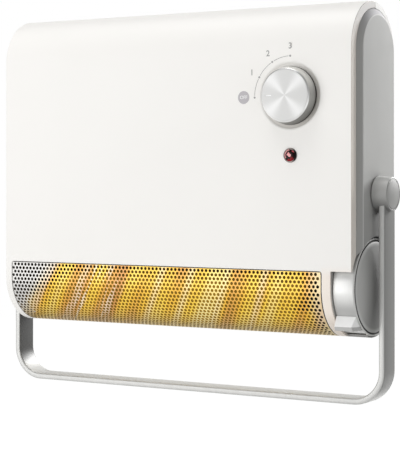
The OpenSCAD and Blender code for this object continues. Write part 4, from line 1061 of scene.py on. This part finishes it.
# ---- the towel rail and its hubs ----
def rail():
    """The rail: one bar bent into a U, each arm's end round about the pivot."""
    half_t = RAIL_T / 2
    arm = rail_hi.x - half_t
    low = rail_lo.z + half_t
    bend = 29.8 * MM + half_t
    edge = 2.0 * MM

    def section(cx, cz, nx, nz, width):
        """Rounded bar section: n points out of the bar's outer face."""
        ring = []
        w, t = width - edge, half_t - edge
        for a0, sw, st in ((0, 1, 1), (90, -1, 1), (180, -1, -1), (270, 1, -1)):
            for k in range(5):
                a = math.radians(a0 + 90 * k / 4)
                y = PIVOT.y + sw * w + edge * math.cos(a)
                d = st * t + edge * math.sin(a)
                ring.append(Vector((cx + nx * d, y, cz + nz * d)))
        return ring

    stations = []
    for k in range(9):
        a = math.radians(82 - 82 * k / 8)
        stations.append((arm, PIVOT.z + RAIL_HALF * math.sin(a), 1, 0, RAIL_HALF * math.cos(a)))
    for k in range(17):
        a = math.radians(90 * k / 16)
        stations.append((arm - bend + bend * math.cos(a), low + bend - bend * math.sin(a),
                         math.cos(a), -math.sin(a), RAIL_HALF))
    for cx, cz, nx, nz, width in reversed(stations[:]):
        stations.append((-cx, cz, -nx, nz, width))
    rings = [section(*s[:4], max(s[4], edge * 1.05)) for s in stations]
    piece("towel_rail_bar", loft(rings, caps=True), RAIL, "rail", ["towel_rail"],
          smooth=40)


def hub_profile():
    x0, x1 = hub_lo.x, hub_hi.x - 0.03 * MM
    base_r, face_r = (hub_hi.y - hub_lo.y) / 2, 17.8 * MM
    well, depth = 16.4 * MM, 1.5 * MM
    return [
        (0, x0), (base_r - 0.5 * MM, x0), (base_r, x0 + 0.5 * MM),
        (face_r + 0.35 * MM, x1 - 1.1 * MM), (face_r + 0.1 * MM, x1 - 0.45 * MM),
        (face_r - 0.4 * MM, x1 - 0.08 * MM), (face_r - 0.7 * MM, x1), (well + 0.2 * MM, x1),
        (well, x1 - 0.2 * MM), (well, x1 - depth), (0, x1 - depth),
    ]


def hub():
    """The right-hand hub, with the slot that holds the rail's arm."""
    body = lathe(hub_profile(), "X", PIVOT, steps=128)
    half = RAIL_HALF + 0.05 * MM
    slot = [(-half, -40 * MM), (half, -40 * MM)] + arc(0, 0, half, 0, 180, 40)
    slot = [(y + PIVOT.y, z + PIVOT.z) for y, z in slot]
    arm_x1 = rail_hi.x + 0.05 * MM
    return carve(body, prism(slot, "X", arm_x1 - RAIL_T - 0.1 * MM, arm_x1))


def hub_cover():
    """The disc in the right-hand hub's outer end."""
    x1, r = hub_hi.x - 0.15 * MM, 15.8 * MM
    profile = [(0, x1 - 1.3 * MM), (r, x1 - 1.3 * MM), (r, x1 - 0.3 * MM),
               (r - 0.12 * MM, x1 - 0.1 * MM), (r - 0.4 * MM, x1), (0, x1)]
    return lathe(profile, "X", PIVOT, steps=128)


rail()
piece("hub_right_skin", hub(), HUB, "rail", ["hub_right"], bevel=0.3 * MM, smooth=40)
piece("hub_left_skin", mirrored(hub()), HUB, "rail", ["hub_left"], bevel=0.3 * MM,
      smooth=40)
piece("hub_cover_discs", merged(hub_cover(), mirrored(hub_cover())), HUB, "rail",
      ["hub_covers"], smooth=40)


# ---- the knob, the dial and the indicator ----
def knob():
    """The knob's turned body, and its face plate with the sunk pointer mark."""
    base_y, face_y, rim = knob_hi.y, KNOB_FACE_Y, KNOB_FACE_R
    side = [
        (0, base_y), (KNOB_R - 0.3 * MM, base_y), (KNOB_R, base_y - 0.3 * MM),
        (rim + 0.3 * MM, face_y + 2 * MM), (rim + 0.1 * MM, face_y + 1.35 * MM),
        (rim - 0.45 * MM, face_y + 0.8 * MM), (PLATE_R, face_y + 0.42 * MM),
        (PLATE_R, face_y + 1.2 * MM), (0, face_y + 1.2 * MM),
    ]
    centre = (KNOB.x, 0, KNOB.z)
    piece("selector_knob_skin", lathe(side, "Y", centre), KNOB_SIDE, "selector",
          ["selector_knob"], smooth=40)
    plate = [(0, face_y + 1.1 * MM), (PLATE_R - 0.05 * MM, face_y + 1.1 * MM),
             (PLATE_R - 0.05 * MM, face_y + 0.36 * MM), (PLATE_R - 0.7 * MM, face_y + 0.12 * MM),
             (PLATE_R - 1.4 * MM, face_y), (0, face_y)]
    plate = lathe(plate, "Y", centre, steps=160)
    ends = arc(-22 * MM, 0, 0.6 * MM, 90, 270, 8) + arc(-16.5 * MM, 0, 0.6 * MM, -90, 90, 8)
    mark = prism([(KNOB.x + x, KNOB.z + z) for x, z in ends], "Y", face_y - MM, face_y + 0.3 * MM)
    piece("knob_face", carve(plate, mark), FACE, "selector", ["knob_plate"], smooth=30)


def ribbon(radius, half, a0, a1, centre, y0, y1, steps):
    """A flat printed arc about a centre in the front face."""
    outer = arc(*centre, radius + half, a0, a1, steps)
    inner = arc(*centre, radius - half, a1, a0, steps)
    return prism(outer + inner, "Y", y0, y1)


def lettering(text, size, x, z, y0, thick):
    """Plain lettering on the front face, centred at x and z."""
    curve = bpy.data.curves.new("lettering", "FONT")
    curve.body, curve.size = text, size
    curve.align_x, curve.align_y = "CENTER", "CENTER"
    curve.extrude = thick / 2
    curve.offset = size * 0.012
    curve.resolution_u = 6
    obj = bpy.data.objects.new("lettering", curve)
    SCENE.collection.objects.link(obj)
    bpy.context.view_layer.update()
    evaluated = obj.evaluated_get(bpy.context.evaluated_depsgraph_get())
    bm = bmesh.new()
    bm.from_mesh(evaluated.to_mesh())
    bpy.data.objects.remove(obj)
    bpy.data.curves.remove(curve)
    stand = Matrix.Translation((x, y0 - thick / 2, z)) @ Matrix.Rotation(math.radians(90), 4, "X")
    bmesh.ops.transform(bm, matrix=stand, verts=bm.verts)
    bmesh.ops.remove_doubles(bm, verts=bm.verts, dist=WELD)
    return bm


def dial():
    """The printed arc with its stops and plain numbers, and the OFF badge."""
    y1, y0 = -BODY_R + 0.02 * MM, -BODY_R - 0.12 * MM
    centre = (KNOB.x, KNOB.z - MM)
    radius = 43.4 * MM
    stops = (180, 150, 120, 90)
    marks = []
    for a in stops:
        cx = centre[0] + radius * math.cos(math.radians(a))
        cz = centre[1] + radius * math.sin(math.radians(a))
        marks.append(prism(arc(cx, cz, 1.15 * MM, 0, 345, 23), "Y", y0, y1))
    for a, b in zip(stops, stops[1:]):
        marks.append(ribbon(radius, 0.26 * MM, a - 2.6, b + 2.6, centre, y0, y1, 24))
    for a, digit in zip(stops[1:], "123"):
        x = centre[0] + (radius + 10.5 * MM) * math.cos(math.radians(a))
        z = centre[1] + (radius + 10.5 * MM) * math.sin(math.radians(a))
        marks.append(lettering(digit, 9 * MM, x, z, -BODY_R, 0.12 * MM))
    piece("dial_print", merged(*marks), PRINT, "housing", smooth=30)
    bx, bz = 98.4 * MM, KNOB.z - 0.5 * MM
    piece("off_badge", prism(arc(bx, bz, 7 * MM, 0, 357, 119), "Y", y0, y1), BADGE, "housing",
          smooth=30)
    word = lettering("OFF", 5.2 * MM, bx, bz, y0, 0.1 * MM)
    piece("off_word", word, BADGE_WORD, "housing", smooth=30)


def indicator():
    """The bright ring and the cut lens."""
    y0 = -BODY_R
    centre = (LAMP.x, 0, LAMP.z)
    bore = 6.42 * MM
    ring = [
        (5.2 * MM, y0 + 11 * MM), (5.2 * MM, y0 - 0.1 * MM), (BEZEL_R - 0.2 * MM, y0 - 0.1 * MM),
        (BEZEL_R, y0 - 0.3 * MM), (BEZEL_R - 0.3 * MM, y0 - 1.2 * MM),
        (BEZEL_R - 0.8 * MM, y0 - BEZEL_T + 0.15 * MM), (BEZEL_R - 1.15 * MM, y0 - BEZEL_T),
        (bore + 0.1 * MM, y0 - BEZEL_T + 0.25 * MM), (bore, y0 - BEZEL_T + 0.5 * MM),
        (bore, y0 - 0.5 * MM), (4.8 * MM, y0 - 0.4 * MM), (4.8 * MM, y0 + 11 * MM),
    ]
    piece("indicator_ring", lathe(ring, "Y", centre, steps=96, wrap=True), BEZEL, "housing",
          ["indicator_bezel"], smooth=40)
    sides = 14
    rings = []
    for r, y, turn in (
        (LENS_R, y0 - 0.5 * MM, 0), (LENS_R, y0 - 1.1 * MM, 0), (5.2 * MM, y0 - 1.5 * MM, 0.5),
        (3.5 * MM, y0 - 1.8 * MM, 0), (1.8 * MM, lens_lo.y, 0.5),
    ):
        rings.append([
            Vector((LAMP.x + r * math.cos(TAU * (i + turn) / sides), y,
                    LAMP.z + r * math.sin(TAU * (i + turn) / sides)))
            for i in range(sides)
        ])
    # each facet gets a given share of painted highlight, which the lens's material turns into a
    # colour: a pink spot at the upper left and lit arcs round the rim, the rest dark
    bm = loft(rings, caps=True)
    bmesh.ops.triangulate(bm, faces=[f for f in bm.faces if len(f.verts) == 4])
    obj = piece("indicator_lens_cut", bm, LENS, "housing", ["indicator_lens"],
                smooth=1)
    facet = obj.data.attributes.new("facet", "FLOAT", "FACE")
    for face in obj.data.polygons:
        u, v = (face.center.x - LAMP.x) / LENS_R, (face.center.z - LAMP.z) / LENS_R
        spot = math.hypot(u + 0.2, v - 0.14)
        rim, turn = math.hypot(u, v), math.degrees(math.atan2(v, u))
        value = 0.09 * math.sin(face.index * 2.4) ** 2
        if spot < 0.31:
            value = 0.97 - 0.08 * math.sin(face.index * 1.7) ** 2
        elif rim > 0.72 and 92 < turn % 360 < 215:
            value = 0.95
        elif rim > 0.72 and 30 < turn < 62:
            value = 0.82
        elif rim > 0.66 and -120 < turn < -60:
            value = 0.62
        elif rim > 0.4 and -80 < turn < -30:
            value = 0.5
        facet.data[face.index].value = value


knob()
dial()
indicator()


# ---- floor, light and background ----
def area(name, place, target, size, power):
    """A soft white lamp that faces a target."""
    data = bpy.data.lights.new(name, "AREA")
    data.shape, data.size, data.size_y = "RECTANGLE", size[0], size[1]
    data.energy = power
    lamp = bpy.data.objects.new(name, data)
    SCENE.collection.objects.link(lamp)
    lamp.location = place
    lamp.rotation_euler = (Vector(target) - Vector(place)).to_track_quat("-Z", "Y").to_euler()


def surroundings():
    """The pale floor, the white background and the soft lamps."""
    size, drop = 12.0, 1.3
    bm = bmesh.new()
    bmesh.ops.create_grid(bm, x_segments=8, y_segments=8, size=size)
    mesh = bpy.data.meshes.new("floor")
    bm.to_mesh(mesh)
    floor = bpy.data.objects.new("floor", mesh)
    SCENE.collection.objects.link(floor)
    floor.location.z = cad_box[0][2] - drop
    p = Paint("floor_pale")
    drift = p.spread(p.noise(3, 2), 0, 1)
    p.colour(p.mix(drift, (0.60, 0.60, 0.595), (0.62, 0.62, 0.615)))
    reach = p.add("ShaderNodeVectorMath", operation="LENGTH")
    p.join(p.place, reach.inputs[0])
    far = p.spread(reach.outputs["Value"], 0.0, 0.85, 1.2, 4.0, smooth=True)
    p.join(far, p.shader.inputs["Emission Strength"])
    p.set(Roughness=0.9, Emission_Color=(1, 1, 1, 1))
    mesh.materials.append(p.material)

    world = bpy.data.worlds.new("studio")
    SCENE.world = world
    world.use_nodes = True
    tree = world.node_tree
    back = tree.nodes["Background"]
    back.inputs["Color"].default_value = (1, 1, 1, 1)
    seen = tree.nodes.new("ShaderNodeLightPath")
    level = tree.nodes.new("ShaderNodeMapRange")
    level.inputs["To Min"].default_value = 0.27
    level.inputs["To Max"].default_value = 1.0
    tree.links.new(seen.outputs["Is Camera Ray"], level.inputs["Value"])
    tree.links.new(level.outputs[0], back.inputs["Strength"])

    middle = (0, -0.05, -0.05)
    area("key", (-1.45, -2.6, -0.05), middle, (2.0, 1.6), 38)
    area("rear_right", (1.36, 4.25, 1.8), (0.23, 0, 0.05), (1.25, 2.2), 300)
    area("top", (-0.25, -0.3, 1.7), middle, (1.2, 1.0), 18)

    SCENE.view_settings.view_transform = "Standard"


surroundings()
